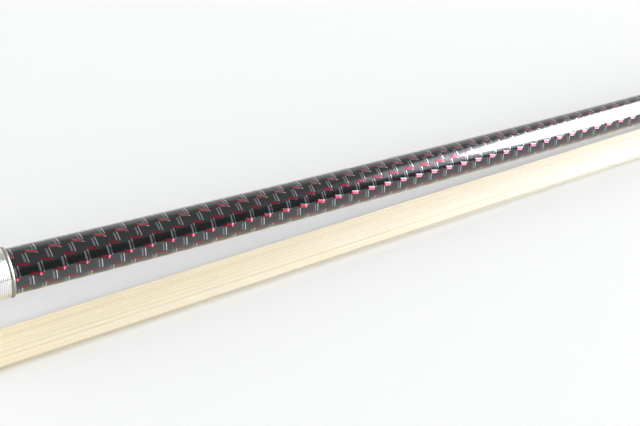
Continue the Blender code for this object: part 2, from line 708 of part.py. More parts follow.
def make_heel(body):
    wall = HEEL_PLATE_WALL
    half = flank(shift(wall)) - HEEL_PLATE_SETBACK
    low = (0, -half, shift(0))
    high = (HEEL_PLATE_LENGTH, half, shift(wall))
    foot = box("heel_plate_bottom", low, high, frog_slide, silver)
    half = flank(shift(HEEL_PLATE_HEIGHT)) - HEEL_PLATE_SETBACK
    low = (0, -half, shift(wall + GAP))
    high = (wall, half, shift(HEEL_PLATE_HEIGHT))
    back = box("heel_plate_back", low, high, frog_slide, silver)
    aside = HEEL_PIN_SPREAD / 2
    pins = (
        ("heel_pin_left", (HEEL_PIN_PLACE, aside, shift(0)), (0, 0, 1), foot),
        ("heel_pin_right", (HEEL_PIN_PLACE, -aside, shift(0)), (0, 0, 1), foot),
        ("heel_pin_back", (0, 0, shift(HEEL_PIN_RISE)), (1, 0, 0), back),
    )
    radius = PIN_DIAMETER / 2
    for name, place, axis, plate in pins:
        start = Vector(place) - Vector(axis) * OVERRUN
        depth = PIN_LENGTH + OVERRUN + GAP
        hole = stud("cut_" + name, radius + GAP, start, axis, depth, frog_slide)
        cut(plate, hole)
        cut(body, hole)
        stud(name, radius, place, axis, PIN_LENGTH, frog_slide, silver, sides=12)


def make_eye(body, side, word):
    face = flank(-EYE_DROP) * side
    foot = (EYE_PLACE, face - EYE_DEPTH * side, -EYE_DROP)
    axis = (0, side, 0)
    floor = (EYE_PLACE, face - (EYE_DEPTH + GAP) * side, -EYE_DROP)
    radius = EYE_RING_DIAMETER / 2
    reach = EYE_DEPTH + GAP + OVERRUN
    cut(body, stud("cut_eye_" + word, radius + GAP, floor, axis, reach, frog_slide, sides=32))
    ring = stud("eye_ring_" + word, radius, foot, axis, EYE_DEPTH, frog_slide, silver, sides=32)
    radius = EYE_RING_BORE / 2
    cut(ring, stud("cut_eye_ring_" + word, radius, floor, axis, reach, frog_slide, sides=32))
    radius = EYE_DIAMETER / 2
    stud("eye_" + word, radius, foot, axis, EYE_DEPTH, frog_slide, pearl, sides=28)


def make_eyelet():
    half = Vector((EYELET_LENGTH, EYELET_WIDTH, EYELET_HEIGHT)) / 2
    middle = Vector((EYELET_PLACE, 0, 0))
    block = box("eyelet", middle - half, middle + half, frog_slide, brass)
    top = -EYELET_HEIGHT / 2 + OVERLAP
    place = (EYELET_PLACE, 0, top)
    radius = EYELET_STEM / 2
    stem = stud("join_stem", radius, place, (0, 0, -1), EYELET_DEPTH + top, frog_slide)
    cut(block, stem, "UNION")
    cut(block, rod("cut_eyelet", BORE_RADIUS, 0, FROG_LENGTH, frog_slide))


def make_hair():
    """A flat ribbon from the frog's knot, through the ferrule, along the bow and into the head."""
    at_frog = frog_slide.matrix_world
    edge_x = FROG_MORTISE_START + FROG_MORTISE_LENGTH
    edge_z = shift(HAIR_OVER_SLIDE + WRAP)
    narrow = HAIR_WIDTH_MORTISE / 2
    wide = HAIR_WIDTH_FROG / 2
    knot_foot = FROG_MORTISE_DEPTH - KNOT_DIAMETER - 2 * GAP
    path = [((edge_x - WRAP, 0, edge_z + knot_foot), narrow)]
    for i in range(5):
        angle = math.pi / 2 * i / 4
        place = (edge_x - WRAP * math.cos(angle), 0, edge_z - WRAP * math.sin(angle))
        path.append((place, narrow))
    ferrule_back = FROG_LENGTH - FERRULE_LENGTH
    wedge_back = FROG_LENGTH - WEDGE_LENGTH - GAP
    sole = shift(HAIR_MIDDLE)
    path.append(((edge_x + HAIR_FAN, 0, shift(HAIR_OVER_SLIDE)), wide))
    path.append(((ferrule_back + GAP, 0, shift(HAIR_OVER_SLIDE)), wide))
    path.append(((wedge_back - GAP, 0, sole), wide))
    path.append(((FROG_LENGTH - GAP, 0, sole), wide))
    path = [(at_frog @ Vector(place), half) for place, half in path]

    heel = head_x(1) - PLATE_LENGTH
    edge_x = heel + HEAD_MORTISE_INSET
    start = path[-1][0].x + HAIR_FAN
    for i in range(9):
        share = i / 8
        x = start + (heel - start) * share
        half = (HAIR_WIDTH_FROG + (HAIR_WIDTH_HEAD - HAIR_WIDTH_FROG) * share) / 2
        path.append((Vector((x, 0, HAIR_MIDDLE)), half))
    for i in range(5):
        angle = math.pi / 2 * i / 4
        place = (edge_x + WRAP * math.sin(angle), 0, PLATE_FACE - WRAP * math.cos(angle))
        path.append((Vector(place), narrow))
    knot_foot = HEAD_SEAT + HEAD_MORTISE_DEPTH - KNOT_DIAMETER - 2 * GAP
    path.append((Vector((edge_x + WRAP, 0, knot_foot)), narrow))

    rings = []
    for i, (place, half) in enumerate(path):
        before = path[max(i - 1, 0)][0]
        after = path[min(i + 1, len(path) - 1)][0]
        along = (place - before).normalized() + (after - place).normalized()
        along.normalize()
        up = Vector((-along.z, 0, along.x)) * HAIR_THICKNESS / 2
        side = Vector((0, half, 0))
        rings.append([place - side - up, place + side - up, place + side + up, place - side + up])
    loft("hair_ribbon", rings, None, hair)


for thing in list(bpy.data.objects):
    bpy.data.objects.remove(thing, do_unlink=True)
bow = new_collection("violin_bow")
cutters = new_collection("violin_bow_cutters")

carbon = new_material("carbon weave", (0.018, 0.02, 0.022), 0.12)
silver = new_material("silver", (0.86, 0.86, 0.84), 0.22, 1.0)
dull_silver = new_material("dull silver", (0.42, 0.41, 0.37), 0.45, 1.0)
steel = new_material("steel", (0.55, 0.56, 0.58), 0.3, 1.0)
brass = new_material("brass", (0.78, 0.6, 0.3), 0.35, 1.0)
ebony = new_material("ebony", (0.02, 0.016, 0.014), 0.35)
pearl = new_material("pearl", (0.85, 0.84, 0.8), 0.2)
bone = new_material("bone", (0.86, 0.83, 0.74), 0.35)
maple = new_material("maple", (0.75, 0.58, 0.38), 0.6)
thread = new_material("thread", (0.75, 0.7, 0.6), 0.8)
leather = new_material("leather", (0.03, 0.025, 0.022), 0.6)
hair = new_material("horsehair", (0.87, 0.8, 0.62), 0.55)

handle = bpy.data.objects.new("handle_axis", None)
handle.location = axis_point(0)[0]
handle.rotation_euler = (0, HANDLE_SLOPE, 0)
frog_slide = bpy.data.objects.new("frog_slide_axis", None)
frog_slide.parent = handle
frog_slide.location = (FROG_HEEL, 0, 0)
screw_turn = bpy.data.objects.new("screw_turn_axis", None)
screw_turn.parent = handle
for empty in (handle, frog_slide, screw_turn):
    bow.objects.link(empty)
bpy.context.view_layer.update()

make_stick()
make_tip()
make_grip()
make_screw()
make_frog()
make_hair()
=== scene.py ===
import json
import math

import bmesh
import bpy
import numpy as np
from mathutils import Matrix, Vector

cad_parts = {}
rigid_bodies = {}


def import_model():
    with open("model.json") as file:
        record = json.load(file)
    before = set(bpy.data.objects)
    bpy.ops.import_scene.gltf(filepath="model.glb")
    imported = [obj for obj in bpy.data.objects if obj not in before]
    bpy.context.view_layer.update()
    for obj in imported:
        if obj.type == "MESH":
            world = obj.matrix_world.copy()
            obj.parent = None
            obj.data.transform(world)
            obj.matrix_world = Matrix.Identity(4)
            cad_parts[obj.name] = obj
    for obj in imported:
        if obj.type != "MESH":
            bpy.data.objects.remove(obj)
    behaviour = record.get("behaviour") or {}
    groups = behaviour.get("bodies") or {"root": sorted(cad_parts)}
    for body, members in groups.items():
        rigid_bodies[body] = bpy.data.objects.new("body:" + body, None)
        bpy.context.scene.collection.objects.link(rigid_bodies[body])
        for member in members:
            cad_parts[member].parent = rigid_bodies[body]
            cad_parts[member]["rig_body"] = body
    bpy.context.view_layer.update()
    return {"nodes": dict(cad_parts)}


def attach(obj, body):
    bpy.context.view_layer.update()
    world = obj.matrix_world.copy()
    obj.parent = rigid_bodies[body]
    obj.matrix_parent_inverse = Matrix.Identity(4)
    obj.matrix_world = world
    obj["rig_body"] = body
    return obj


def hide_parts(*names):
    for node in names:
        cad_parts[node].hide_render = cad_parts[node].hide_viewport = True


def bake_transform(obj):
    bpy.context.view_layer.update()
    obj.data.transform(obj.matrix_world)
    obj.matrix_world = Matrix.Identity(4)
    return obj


# Looks of a violin bow: woven carbon stick, wire winding, leather grip, frog, button, head and hair.
# Metres. x runs from the button's end along the handle, and ahead of the winding along the hair.

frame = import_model()
nodes = frame["nodes"]
mm = 0.001
print("frame loaded:", len(nodes), "nodes")

bow = {
    "length": 745 * mm,
    "slope": math.radians(3.26),  # the handle leans nose down
    "camberRadius": 4296 * mm,  # of the stick ahead of the winding
    "windingFront": 160 * mm,
    "headStart": 704 * mm,
    "axisHeight": 17 * mm,  # stick axis over the floor at the winding's front end
    "hairMiddle": 1.5 * mm,
    "buttonAcross": 8.4 * mm,
    "gripBack": 64 * mm,
    "gripRadius": 4.2 * mm,  # of the stick there
    "runWidth": 7.8 * mm,  # of the stick at the winding's front end
    "tipWidth": 5.3 * mm,  # of the stick at the head
    "taperPower": 1.6,
}
bow["windingX"] = (
    bow["windingFront"] * math.cos(bow["slope"])
    + bow["buttonAcross"] / 2 * math.sin(bow["slope"])
    - (bow["length"] - bow["windingFront"])
) / 2


# shapes


def axisFrame(x):
    # the stick's middle, direction and upward side at each x: a straight handle, then a parabola
    x = np.asarray(x, float)
    run = x - bow["windingFront"]
    tilt = math.tan(bow["slope"])
    ahead = run > 0
    slope = np.where(ahead, run / bow["camberRadius"] - tilt, -tilt)
    level = np.where(ahead, run, run * math.cos(bow["slope"]))
    height = np.where(
        ahead, run**2 / 2 / bow["camberRadius"] - tilt * run, -run * math.sin(bow["slope"])
    )
    middle = np.stack([bow["windingX"] + level, 0 * x, bow["axisHeight"] + height], -1)
    along = np.stack([1 + 0 * x, 0 * x, slope], -1)
    along /= np.linalg.norm(along, axis=-1, keepdims=True)
    up = np.stack([-along[..., 2], 0 * x, along[..., 0]], -1)
    return middle, along, up


def stickRadius(x):
    # a straight taper on the handle, then a power of the way left to the head, which thins fast at first
    x = np.asarray(x, float)
    front, wide, thin = bow["windingFront"], bow["runWidth"], bow["tipWidth"]
    share = np.clip((x - front) / (bow["headStart"] - front), 0, 1)
    back, first = bow["gripBack"], bow["gripRadius"]
    handle = first - (first - wide / 2) * (x - back) / (front - back)
    run = (thin + (wide - thin) * (1 - share) ** bow["taperPower"]) / 2
    return np.where(x <= front, handle, run)


def ease(share):
    # 3 t squared less 2 t cubed: flat at both ends
    share = np.clip(share, 0, 1)
    return share * share * (3 - 2 * share)


def curveThrough(points, share):
    # Catmull-Rom through the points: a cubic between each pair, with slopes from the neighbours
    points = np.asarray(points, float)
    ends = np.concatenate([[2 * points[0] - points[1]], points, [2 * points[-1] - points[-2]]])
    place = np.asarray(share, float) * (len(points) - 1)
    i = np.minimum(place.astype(int), len(points) - 2)
    t = (place - i)[..., None]
    a, b, c, d = ends[i], ends[i + 1], ends[i + 2], ends[i + 3]
    cubic = (2 * a - 5 * b + 4 * c - d) * t**2 + (3 * b - a - 3 * c + d) * t**3
    return 0.5 * (2 * b + (c - a) * t + cubic)


def newPiece(name, verts, faces, material, uv=None, sharp=None):
    # a mesh object at the origin; uv turns the corners' vertex numbers into coordinates
    mesh = bpy.data.meshes.new(name)
    mesh.from_pydata(np.asarray(verts, float).reshape(-1, 3).tolist(), [], faces)
    if uv is not None:
        loops = np.empty(len(mesh.loops), int)
        mesh.loops.foreach_get("vertex_index", loops)
        layer = mesh.uv_layers.new(name="UVMap")
        layer.data.foreach_set("uv", uv(loops).astype(np.float32).ravel())
    mesh.materials.append(material)
    mesh.shade_smooth()
    bm = bmesh.new()
    bm.from_mesh(mesh)
    bmesh.ops.recalc_face_normals(bm, faces=bm.faces)
    bm.to_mesh(mesh)
    bm.free()
    if sharp:
        mesh.set_sharp_from_angle(angle=math.radians(sharp))
    thing = bpy.data.objects.new(name, mesh)
    bpy.context.scene.collection.objects.link(thing)
    return thing


def gridFaces(rings, around, closed=True):
    # quads between neighbouring rings, wrapped round where closed
    i, j = np.meshgrid(np.arange(rings - 1), np.arange(around if closed else around - 1), indexing="ij")
    k = (j + 1) % around
    quads = np.stack([i * around + j, i * around + k, (i + 1) * around + k, (i + 1) * around + j], -1)
    return quads.reshape(-1, 4).tolist()


def roundGrid(x, radius, angles):
    # points at each x and angle: angle 0 is on top, and it grows towards -Y
    middle, _, up = axisFrame(x)
    reach = np.broadcast_to(radius, (len(x), len(angles)))[..., None]
    side = np.array([0, -1, 0])
    turn = np.cos(angles)[None, :, None] * up[:, None] + np.sin(angles)[None, :, None] * side
    return middle[:, None] + reach * turn


def cutWith(thing, name, low, high, alongHandle):
    # a box taken out of a piece, level with the world or with the handle
    low, high = np.array(low), np.array(high)
    corner = np.array([[i & 1, i >> 1 & 1, i >> 2 & 1] for i in range(8)])
    place = low + corner * (high - low)
    if alongHandle:
        middle, _, up = axisFrame(place[:, 0])
        place = middle + up * place[:, 2:] + np.array([0, 1, 0]) * place[:, 1:2]
    faces = [(0, 2, 3, 1), (4, 5, 7, 6), (0, 1, 5, 4), (2, 6, 7, 3), (0, 4, 6, 2), (1, 3, 7, 5)]
    cutter = newPiece(name, place, faces, thing.data.materials[0])
    step = thing.modifiers.new(name, "BOOLEAN")
    step.object = cutter
    step.solver = "EXACT"
    bpy.context.view_layer.update()
    graph = bpy.context.evaluated_depsgraph_get()
    done = bpy.data.meshes.new_from_object(thing.evaluated_get(graph))
    thing.modifiers.clear()
    thing.data = done
    bpy.data.objects.remove(cutter)


# shader helpers


def calc(tree, operation, *values):
    # one Math node, fed with sockets or numbers
    node = tree.nodes.new("ShaderNodeMath")
    node.operation = operation
    for socket, value in zip(node.inputs, values):
        if isinstance(value, (int, float)):
            socket.default_value = value
        else:
            tree.links.new(value, socket)
    return node.outputs[0]


def fade(tree, value, low, high, start=0.0, end=1.0):
    # a smooth step of a value between low and high
    node = tree.nodes.new("ShaderNodeMapRange")
    node.interpolation_type = "SMOOTHSTEP"
    tree.links.new(value, node.inputs["Value"])
    node.inputs["From Min"].default_value = low
    node.inputs["From Max"].default_value = high
    node.inputs["To Min"].default_value = start
    node.inputs["To Max"].default_value = end
    return node.outputs["Result"]


def mixColour(tree, share, first, second):
    # the first colour where share is 0, the second where it is 1
    node = tree.nodes.new("ShaderNodeMix")
    node.data_type = "RGBA"
    tree.links.new(share, node.inputs["Factor"])
    for name, value in (("A", first), ("B", second)):
        socket = [s for s in node.inputs if s.name == name and s.type == "RGBA"][0]
        if isinstance(value, tuple):
            socket.default_value = (*value, 1)
        else:
            tree.links.new(value, socket)
    return [s for s in node.outputs if s.type == "RGBA"][0]


def noise(tree, vector, scale, detail=2.0, roughness=0.5):
    # cloudy values round 0.5
    node = tree.nodes.new("ShaderNodeTexNoise")
    node.inputs["Scale"].default_value = scale
    node.inputs["Detail"].default_value = detail
    node.inputs["Roughness"].default_value = roughness
    tree.links.new(vector, node.inputs["Vector"])
    return node.outputs["Fac"]


def stretched(tree, vector, scale):
    # coordinates times a scale for each axis
    node = tree.nodes.new("ShaderNodeMapping")
    node.inputs["Scale"].default_value = scale
    tree.links.new(vector, node.inputs["Vector"])
    return node.outputs["Vector"]


def bump(tree, height, distance, strength=1.0):
    # a normal tilted by the slope of height times distance
    node = tree.nodes.new("ShaderNodeBump")
    node.inputs["Strength"].default_value = strength
    node.inputs["Distance"].default_value = distance
    tree.links.new(height, node.inputs["Height"])
    return node.outputs["Normal"]


def newMaterial(name, colour, roughness, metallic=0.0, **more):
    # one Principled shader, with further sockets given by name
    material = bpy.data.materials.new(name)
    material.use_nodes = True
    tree = material.node_tree
    shader = tree.nodes["Principled BSDF"]
    shader.inputs["Base Color"].default_value = (*colour, 1)
    shader.inputs["Roughness"].default_value = roughness
    shader.inputs["Metallic"].default_value = metallic
    for key, value in more.items():
        shader.inputs[key].default_value = value
    return material, tree, shader


def coat(weight, roughness, ior=1.5):
    # socket values of a clear lacquer
    return {"Coat Weight": weight, "Coat Roughness": roughness, "Coat IOR": ior}


def objectCoords(tree):
    # metres from the piece's origin, which is the world's
    return tree.nodes.new("ShaderNodeTexCoord").outputs["Object"]


def uvCoords(tree):
    # the two coordinates that newPiece gave the corners
    return tree.nodes.new("ShaderNodeTexCoord").outputs["UV"]


def noiseGroup(name, parts):
    # a node group of noises: for each, its output's name, share of the scale, detail and x stretch
    group = bpy.data.node_groups.new(name, "ShaderNodeTree")
    group.interface.new_socket("Vector", in_out="INPUT", socket_type="NodeSocketVector")
    group.interface.new_socket("Scale", in_out="INPUT", socket_type="NodeSocketFloat")
    for key, *_ in parts:
        group.interface.new_socket(key, in_out="OUTPUT", socket_type="NodeSocketFloat")
    given = group.nodes.new("NodeGroupInput").outputs
    results = group.nodes.new("NodeGroupOutput").inputs
    for key, times, detail, stretch in parts:
        node = group.nodes.new("ShaderNodeTexNoise")
        node.inputs["Detail"].default_value = detail
        group.links.new(stretched(group, given["Vector"], (stretch, 1, 1)), node.inputs["Vector"])
        group.links.new(calc(group, "MULTIPLY", given["Scale"], times), node.inputs["Scale"])
        group.links.new(node.outputs["Fac"], results[key])
    return group


def useGroup(tree, group, **values):
    # a group in a material, fed with sockets or numbers
    node = tree.nodes.new("ShaderNodeGroup")
    node.node_tree = group
    for key, value in values.items():
        if isinstance(value, (int, float)):
            node.inputs[key].default_value = value
        else:
            tree.links.new(value, node.inputs[key])
    return node.outputs


# fine scratches and cloudy handling marks, for every polished piece
wearGroup = noiseGroup("wear", (("Cloud", 0.3, 4, 1), ("Scratch", 6.0, 3, 0.06)))
# long fibres with short dark pores between them, for wood and bone
grainGroup = noiseGroup("grain", (("Grain", 1.0, 4, 0.07), ("Pore", 5.0, 2, 0.07)))


def addGrain(tree, shader, pale, deep, depth, scale=900.0):
    # colour goes from deep to pale with the grain, and the pores are pressed in
    marks = useGroup(tree, grainGroup, Vector=objectCoords(tree), Scale=scale)
    tint = mixColour(tree, fade(tree, marks["Grain"], 0.3, 0.7), pale, deep)
    tree.links.new(tint, shader.inputs["Base Color"])
    tree.links.new(bump(tree, fade(tree, marks["Pore"], 0.3, 0.42), depth, 0.6), shader.inputs["Normal"])
    return marks


def addWear(tree, shader, low, high, depth, scale=900.0):
    # roughness wanders between low and high, and hairlines go into the surface
    marks = useGroup(tree, wearGroup, Vector=objectCoords(tree), Scale=scale)
    tree.links.new(fade(tree, marks["Cloud"], 0.3, 0.7, low, high), shader.inputs["Roughness"])
    tree.links.new(bump(tree, marks["Scratch"], depth), shader.inputs["Normal"])
    return marks


# materials

weave = {
    "period": 3.88 * mm,  # at the winding, along the stick, of one thread's dash and gap
    "rows": 12,  # threads round the stick
    "rowAngle": 13.3,  # degrees from the top to the first row
    "dashPhase": 0.0466,  # of a period, from the winding's front end
    "tickPhase": 0.797,
    "tickSkew": 0.031,  # periods per row
    "dashSlant": 0.4,  # rows per period
    "dashWidth": 0.105,  # half, in rows
    "dashSides": (0.75, 1.1),  # shares of the width over which the red ends
    "dashEnds": (0.23, 0.27),  # periods from a dash's middle, the same
    "bulge": 0.27 * mm,  # how far a red thread lifts the surface
    "ramp": (-0.24, 0.16),  # rows from the thread's middle
    "step": 0.08,  # rows over which it ends
    "bulgeEnds": (0.12, 0.3),  # periods from a dash's middle
    "oddBulge": 0.06,  # of the even rows' bulge
    "pillow": 0.006,  # shares of the bulge
    "fibre": 0.004,
    "fibreScales": ((3, 60, 1), (110, 1.5, 1)),  # of tows along the stick and round it
    "fibreRoughness": (0.11, 0.16),
    "thinning": 0.5,  # power of the stick's width that the period follows
    "tickWidth": 0.017,  # half, in periods
    "tickSides": (0.6, 1.3),  # shares of the width over which the wire ends
    "tickEnds": (0.42, 0.48),  # rows from a tick's middle, the same
    # the streak values place a painted highlight beside each tick
    "streakShift": 0.14,  # of a period, behind the tick
    "streakSides": (0.015, 0.06),  # periods from its middle
    "streakEnds": (0.3, 0.45),
    "sheenStreak": 0.16,  # how far it comes up to the wire's brightness
    "carbonLow": (0.004, 0.005, 0.005),
    "carbon": (0.014, 0.015, 0.016),
    "red": (0.34, 0.005, 0.028),
    "redMetal": 0.8,
    "oddRowShade": 0.62,  # of the even rows' colour: painted shade that dims the red on every other row
    "wire": (0.7, 0.71, 0.73),
}


def makeCarbon():
    # u counts periods along the stick, v rows round it; red dashes lie on the rows, wires between them
    material, tree, shader = newMaterial("carbonWeave", weave["carbon"], 0.3, **coat(1.0, 0.03, 1.4))
    shader.inputs["Specular IOR Level"].default_value = 0.5
    split = tree.nodes.new("ShaderNodeSeparateXYZ")
    tree.links.new(uvCoords(tree), split.inputs[0])
    u, v = split.outputs["X"], split.outputs["Y"]

    # red threads: slanted dashes on every row, with every other row half a period later
    row = calc(tree, "ROUND", v)
    odd = calc(tree, "PINGPONG", row, 1.0)
    late = calc(tree, "MULTIPLY_ADD", odd, 0.5, weave["dashPhase"] - 0.5)
    inDash = calc(tree, "SUBTRACT", calc(tree, "FRACT", calc(tree, "SUBTRACT", u, late)), 0.5)
    slant = calc(tree, "MULTIPLY", inDash, weave["dashSlant"])
    across = calc(tree, "SUBTRACT", calc(tree, "SUBTRACT", v, row), slant)
    inside, outside = (weave["dashWidth"] * k for k in weave["dashSides"])
    inWidth = fade(tree, calc(tree, "ABSOLUTE", across), inside, outside, 1.0, 0.0)
    fromMiddle = calc(tree, "ABSOLUTE", inDash)
    inLength = fade(tree, fromMiddle, *weave["dashEnds"], 1.0, 0.0)
    dash = calc(tree, "MULTIPLY", inWidth, inLength)

    # ticks: thin wires round the stick at every other crossing, from one row to the next
    zone = calc(tree, "FLOOR", v)
    lean = calc(tree, "MULTIPLY_ADD", v, weave["tickSkew"], weave["tickPhase"] - 0.5)
    lean = calc(tree, "MULTIPLY_ADD", calc(tree, "PINGPONG", zone, 1.0), 0.5, lean)
    inTick = calc(tree, "SUBTRACT", calc(tree, "FRACT", calc(tree, "SUBTRACT", u, lean)), 0.5)
    inside, outside = (weave["tickWidth"] * k for k in weave["tickSides"])
    tick = fade(tree, calc(tree, "ABSOLUTE", inTick), inside, outside, 1.0, 0.0)
    inZone = calc(tree, "ABSOLUTE", calc(tree, "SUBTRACT", calc(tree, "FRACT", v), 0.5))
    tick = calc(tree, "MULTIPLY", tick, fade(tree, inZone, *weave["tickEnds"], 1.0, 0.0))
    # beside each tick, a broad dim streak of the wire's colour: a painted highlight that stands in for
    # the glint on the tow's rounded edge
    beside = calc(tree, "ABSOLUTE", calc(tree, "ADD", inTick, weave["streakShift"]))
    sheenStreak = fade(tree, beside, *weave["streakSides"], weave["sheenStreak"], 0.0)
    sheenStreak = calc(tree, "MULTIPLY", sheenStreak, fade(tree, inZone, *weave["streakEnds"], 1.0, 0.0))
    # the real wires together with the painted highlight beside them
    wiresAndSheen = calc(tree, "MAXIMUM", tick, sheenStreak)

    # tows: cells that lie along and round the stick in turn, each one a low pillow of fibres
    cellAlong = calc(tree, "MULTIPLY", calc(tree, "SUBTRACT", u, weave["dashPhase"] - 0.25), 2.0)
    pillowAlong = calc(tree, "SINE", calc(tree, "MULTIPLY", cellAlong, math.pi))
    pillowRound = calc(tree, "SINE", calc(tree, "MULTIPLY", v, math.pi))
    pillow = calc(tree, "ABSOLUTE", calc(tree, "MULTIPLY", pillowAlong, pillowRound))
    pillow = calc(tree, "POWER", pillow, 0.5)
    cell = calc(tree, "PINGPONG", calc(tree, "ADD", calc(tree, "FLOOR", cellAlong), zone), 1.0)
    fibre = tree.nodes.new("ShaderNodeMix")
    tree.links.new(cell, fibre.inputs["Factor"])
    for socket, scale in zip("AB", weave["fibreScales"]):
        tree.links.new(noise(tree, stretched(tree, uvCoords(tree), scale), 1.0, 3), fibre.inputs[socket])
    fibre = fibre.outputs[0]

    colour = mixColour(tree, fibre, weave["carbonLow"], weave["carbon"])
    # every other row's red is dimmed: painted shade for the darker surroundings those threads reflect
    shown = calc(tree, "MULTIPLY", dash, calc(tree, "MULTIPLY_ADD", odd, weave["oddRowShade"] - 1.0, 1.0))
    colour = mixColour(tree, shown, colour, weave["red"])
    colour = mixColour(tree, wiresAndSheen, colour, weave["wire"])
    tree.links.new(colour, shader.inputs["Base Color"])
    metal = calc(tree, "MAXIMUM", calc(tree, "MULTIPLY", dash, weave["redMetal"]), wiresAndSheen)
    tree.links.new(metal, shader.inputs["Metallic"])
    roughness = fade(tree, fibre, 0.2, 0.8, *weave["fibreRoughness"])
    tree.links.new(roughness, shader.inputs["Roughness"])

    # height: a ramp over each red thread that ends in a step, higher on the even rows
    lengthwise = fade(tree, fromMiddle, *weave["bulgeEnds"], 1.0, 0.0)
    low, high = weave["ramp"]
    rise = calc(tree, "MULTIPLY_ADD", across, 1 / (high - low), low / (low - high))
    rise = calc(tree, "MAXIMUM", rise, 0.0)
    crosswise = calc(tree, "MULTIPLY", rise, fade(tree, across, high, high + weave["step"], 1.0, 0.0))
    share = calc(tree, "MULTIPLY_ADD", odd, weave["oddBulge"] - 1.0, 1.0)
    height = calc(tree, "MULTIPLY", calc(tree, "MULTIPLY", lengthwise, crosswise), share)
    height = calc(tree, "MULTIPLY_ADD", pillow, weave["pillow"], height)
    height = calc(tree, "MULTIPLY_ADD", fibre, weave["fibre"], height)
    tree.links.new(bump(tree, height, weave["bulge"]), shader.inputs["Normal"])
    return material


def makeMetal(name, colour, low, high, depth):
    # roughness between low and high, cloudy with handling
    material, tree, shader = newMaterial(name, colour, low, 1.0)
    marks = addWear(tree, shader, low, high, depth)
    dull = tuple(0.88 * c for c in colour)
    tint = mixColour(tree, fade(tree, marks["Cloud"], 0.4, 0.8), colour, dull)
    tree.links.new(tint, shader.inputs["Base Color"])
    return material


def makeEbony():
    # near-black wood, oiled: a soft sheen with pores in it
    material, tree, shader = newMaterial("ebony", (0.02, 0.016, 0.014), 0.3, **coat(0.12, 0.2))
    shader.inputs["Specular IOR Level"].default_value = 0.4
    marks = addGrain(tree, shader, (0.006, 0.005, 0.004), (0.02, 0.014, 0.01), 0.01 * mm)
    tree.links.new(fade(tree, marks["Grain"], 0.3, 0.7, 0.24, 0.36), shader.inputs["Roughness"])
    return material


def makePearl():
    # cloudy bands that run through pale green, white, pink and blue
    material, tree, shader = newMaterial("pearl", (0.8, 0.8, 0.78), 0.16, **coat(1.0, 0.05))
    where = objectCoords(tree)
    cloud = noise(tree, stretched(tree, where, (220, 420, 420)), 1.0, 5, 0.62)
    layers = noise(tree, where, 900.0, 3)
    ramp = tree.nodes.new("ShaderNodeValToRGB")
    tree.links.new(cloud, ramp.inputs["Fac"])
    stops = (
        (0.3, (0.42, 0.62, 0.58)), (0.42, (0.78, 0.84, 0.8)), (0.52, (0.9, 0.78, 0.8)),
        (0.6, (0.62, 0.78, 0.86)), (0.7, (0.86, 0.86, 0.74)),
    )
    while len(ramp.color_ramp.elements) < len(stops):
        ramp.color_ramp.elements.new(0.5)
    for element, (place, colour) in zip(ramp.color_ramp.elements, stops):
        element.position = place
        element.color = (*colour, 1)
    tree.links.new(ramp.outputs["Color"], shader.inputs["Base Color"])
    tree.links.new(fade(tree, layers, 0.3, 0.7, 0.1, 0.26), shader.inputs["Roughness"])
    tree.links.new(fade(tree, cloud, 0.35, 0.65, 0.15, 0.5), shader.inputs["Metallic"])
    return material


def makeBone():
    # ivory-coloured plate with faint long lines
    material, tree, shader = newMaterial("bone", (0.86, 0.83, 0.74), 0.32, **coat(0.3, 0.2))
    addGrain(tree, shader, (0.86, 0.83, 0.75), (0.76, 0.71, 0.6), 0.005 * mm, 1800.0)
    return material


def makeMaple():
    # pale raw wood
    material, tree, shader = newMaterial("maple", (0.75, 0.58, 0.38), 0.6)
    addGrain(tree, shader, (0.76, 0.6, 0.4), (0.58, 0.41, 0.24), 0.02 * mm, 2400.0)
    return material


def makeThread():
    # turns of waxed thread round the knots
    material, tree, shader = newMaterial("thread", (0.75, 0.7, 0.6), 0.8, **{"Sheen Weight": 0.3})
    where = objectCoords(tree)
    turns = noise(tree, stretched(tree, where, (300, 5000, 300)), 1.0, 2)
    colour = mixColour(tree, turns, (0.62, 0.56, 0.45), (0.85, 0.8, 0.7))
    tree.links.new(colour, shader.inputs["Base Color"])
    tree.links.new(bump(tree, turns, 0.05 * mm), shader.inputs["Normal"])
    return material


def makeLeather():
    # small cells with creases between them, the creases painted darker as painted shade
    material, tree, shader = newMaterial("leather", (0.03, 0.025, 0.022), 0.55, **coat(0.15, 0.35))
    where = uvCoords(tree)
    cells = tree.nodes.new("ShaderNodeTexVoronoi")
    cells.feature = "DISTANCE_TO_EDGE"
    cells.inputs["Scale"].default_value = 1.0
    tree.links.new(stretched(tree, where, (1.6, 2.2, 1)), cells.inputs["Vector"])
    crease = fade(tree, cells.outputs["Distance"], 0.0, 0.12)
    small = noise(tree, stretched(tree, where, (9, 9, 1)), 1.0, 4)
    # colour darker in the creases: painted shade
    colour = mixColour(tree, crease, (0.005, 0.004, 0.004), (0.02, 0.016, 0.014))
    tree.links.new(colour, shader.inputs["Base Color"])
    tree.links.new(fade(tree, small, 0.3, 0.7, 0.42, 0.65), shader.inputs["Roughness"])
    height = calc(tree, "ADD", crease, calc(tree, "MULTIPLY", small, 0.5))
    tree.links.new(bump(tree, height, 0.08 * mm), shader.inputs["Normal"])
    return material


hairLook = {
    "frogPale": (0.96, 0.88, 0.67),
    "frogDeep": (0.86, 0.75, 0.51),
    "headPale": (0.99, 0.96, 0.87),
    "headDeep": (0.95, 0.9, 0.76),
    "change": (-0.235, 0.05),  # x over which the frog's tones turn into the head's paler ones, partly a painted highlight
    "patch": (0.97, 0.93, 0.82),
    "farSide": (0.9, 0.79, 0.54),
    # painted shade along the ribbon's -y edge
    "nearEdgeShade": (0.46, 0.41, 0.29),
    "rimEdge": (-1.0, -0.87),  # shares of the half width
    "strandScale": (3, 2600, 2600),
    "patchScale": (25, 250, 250),
}


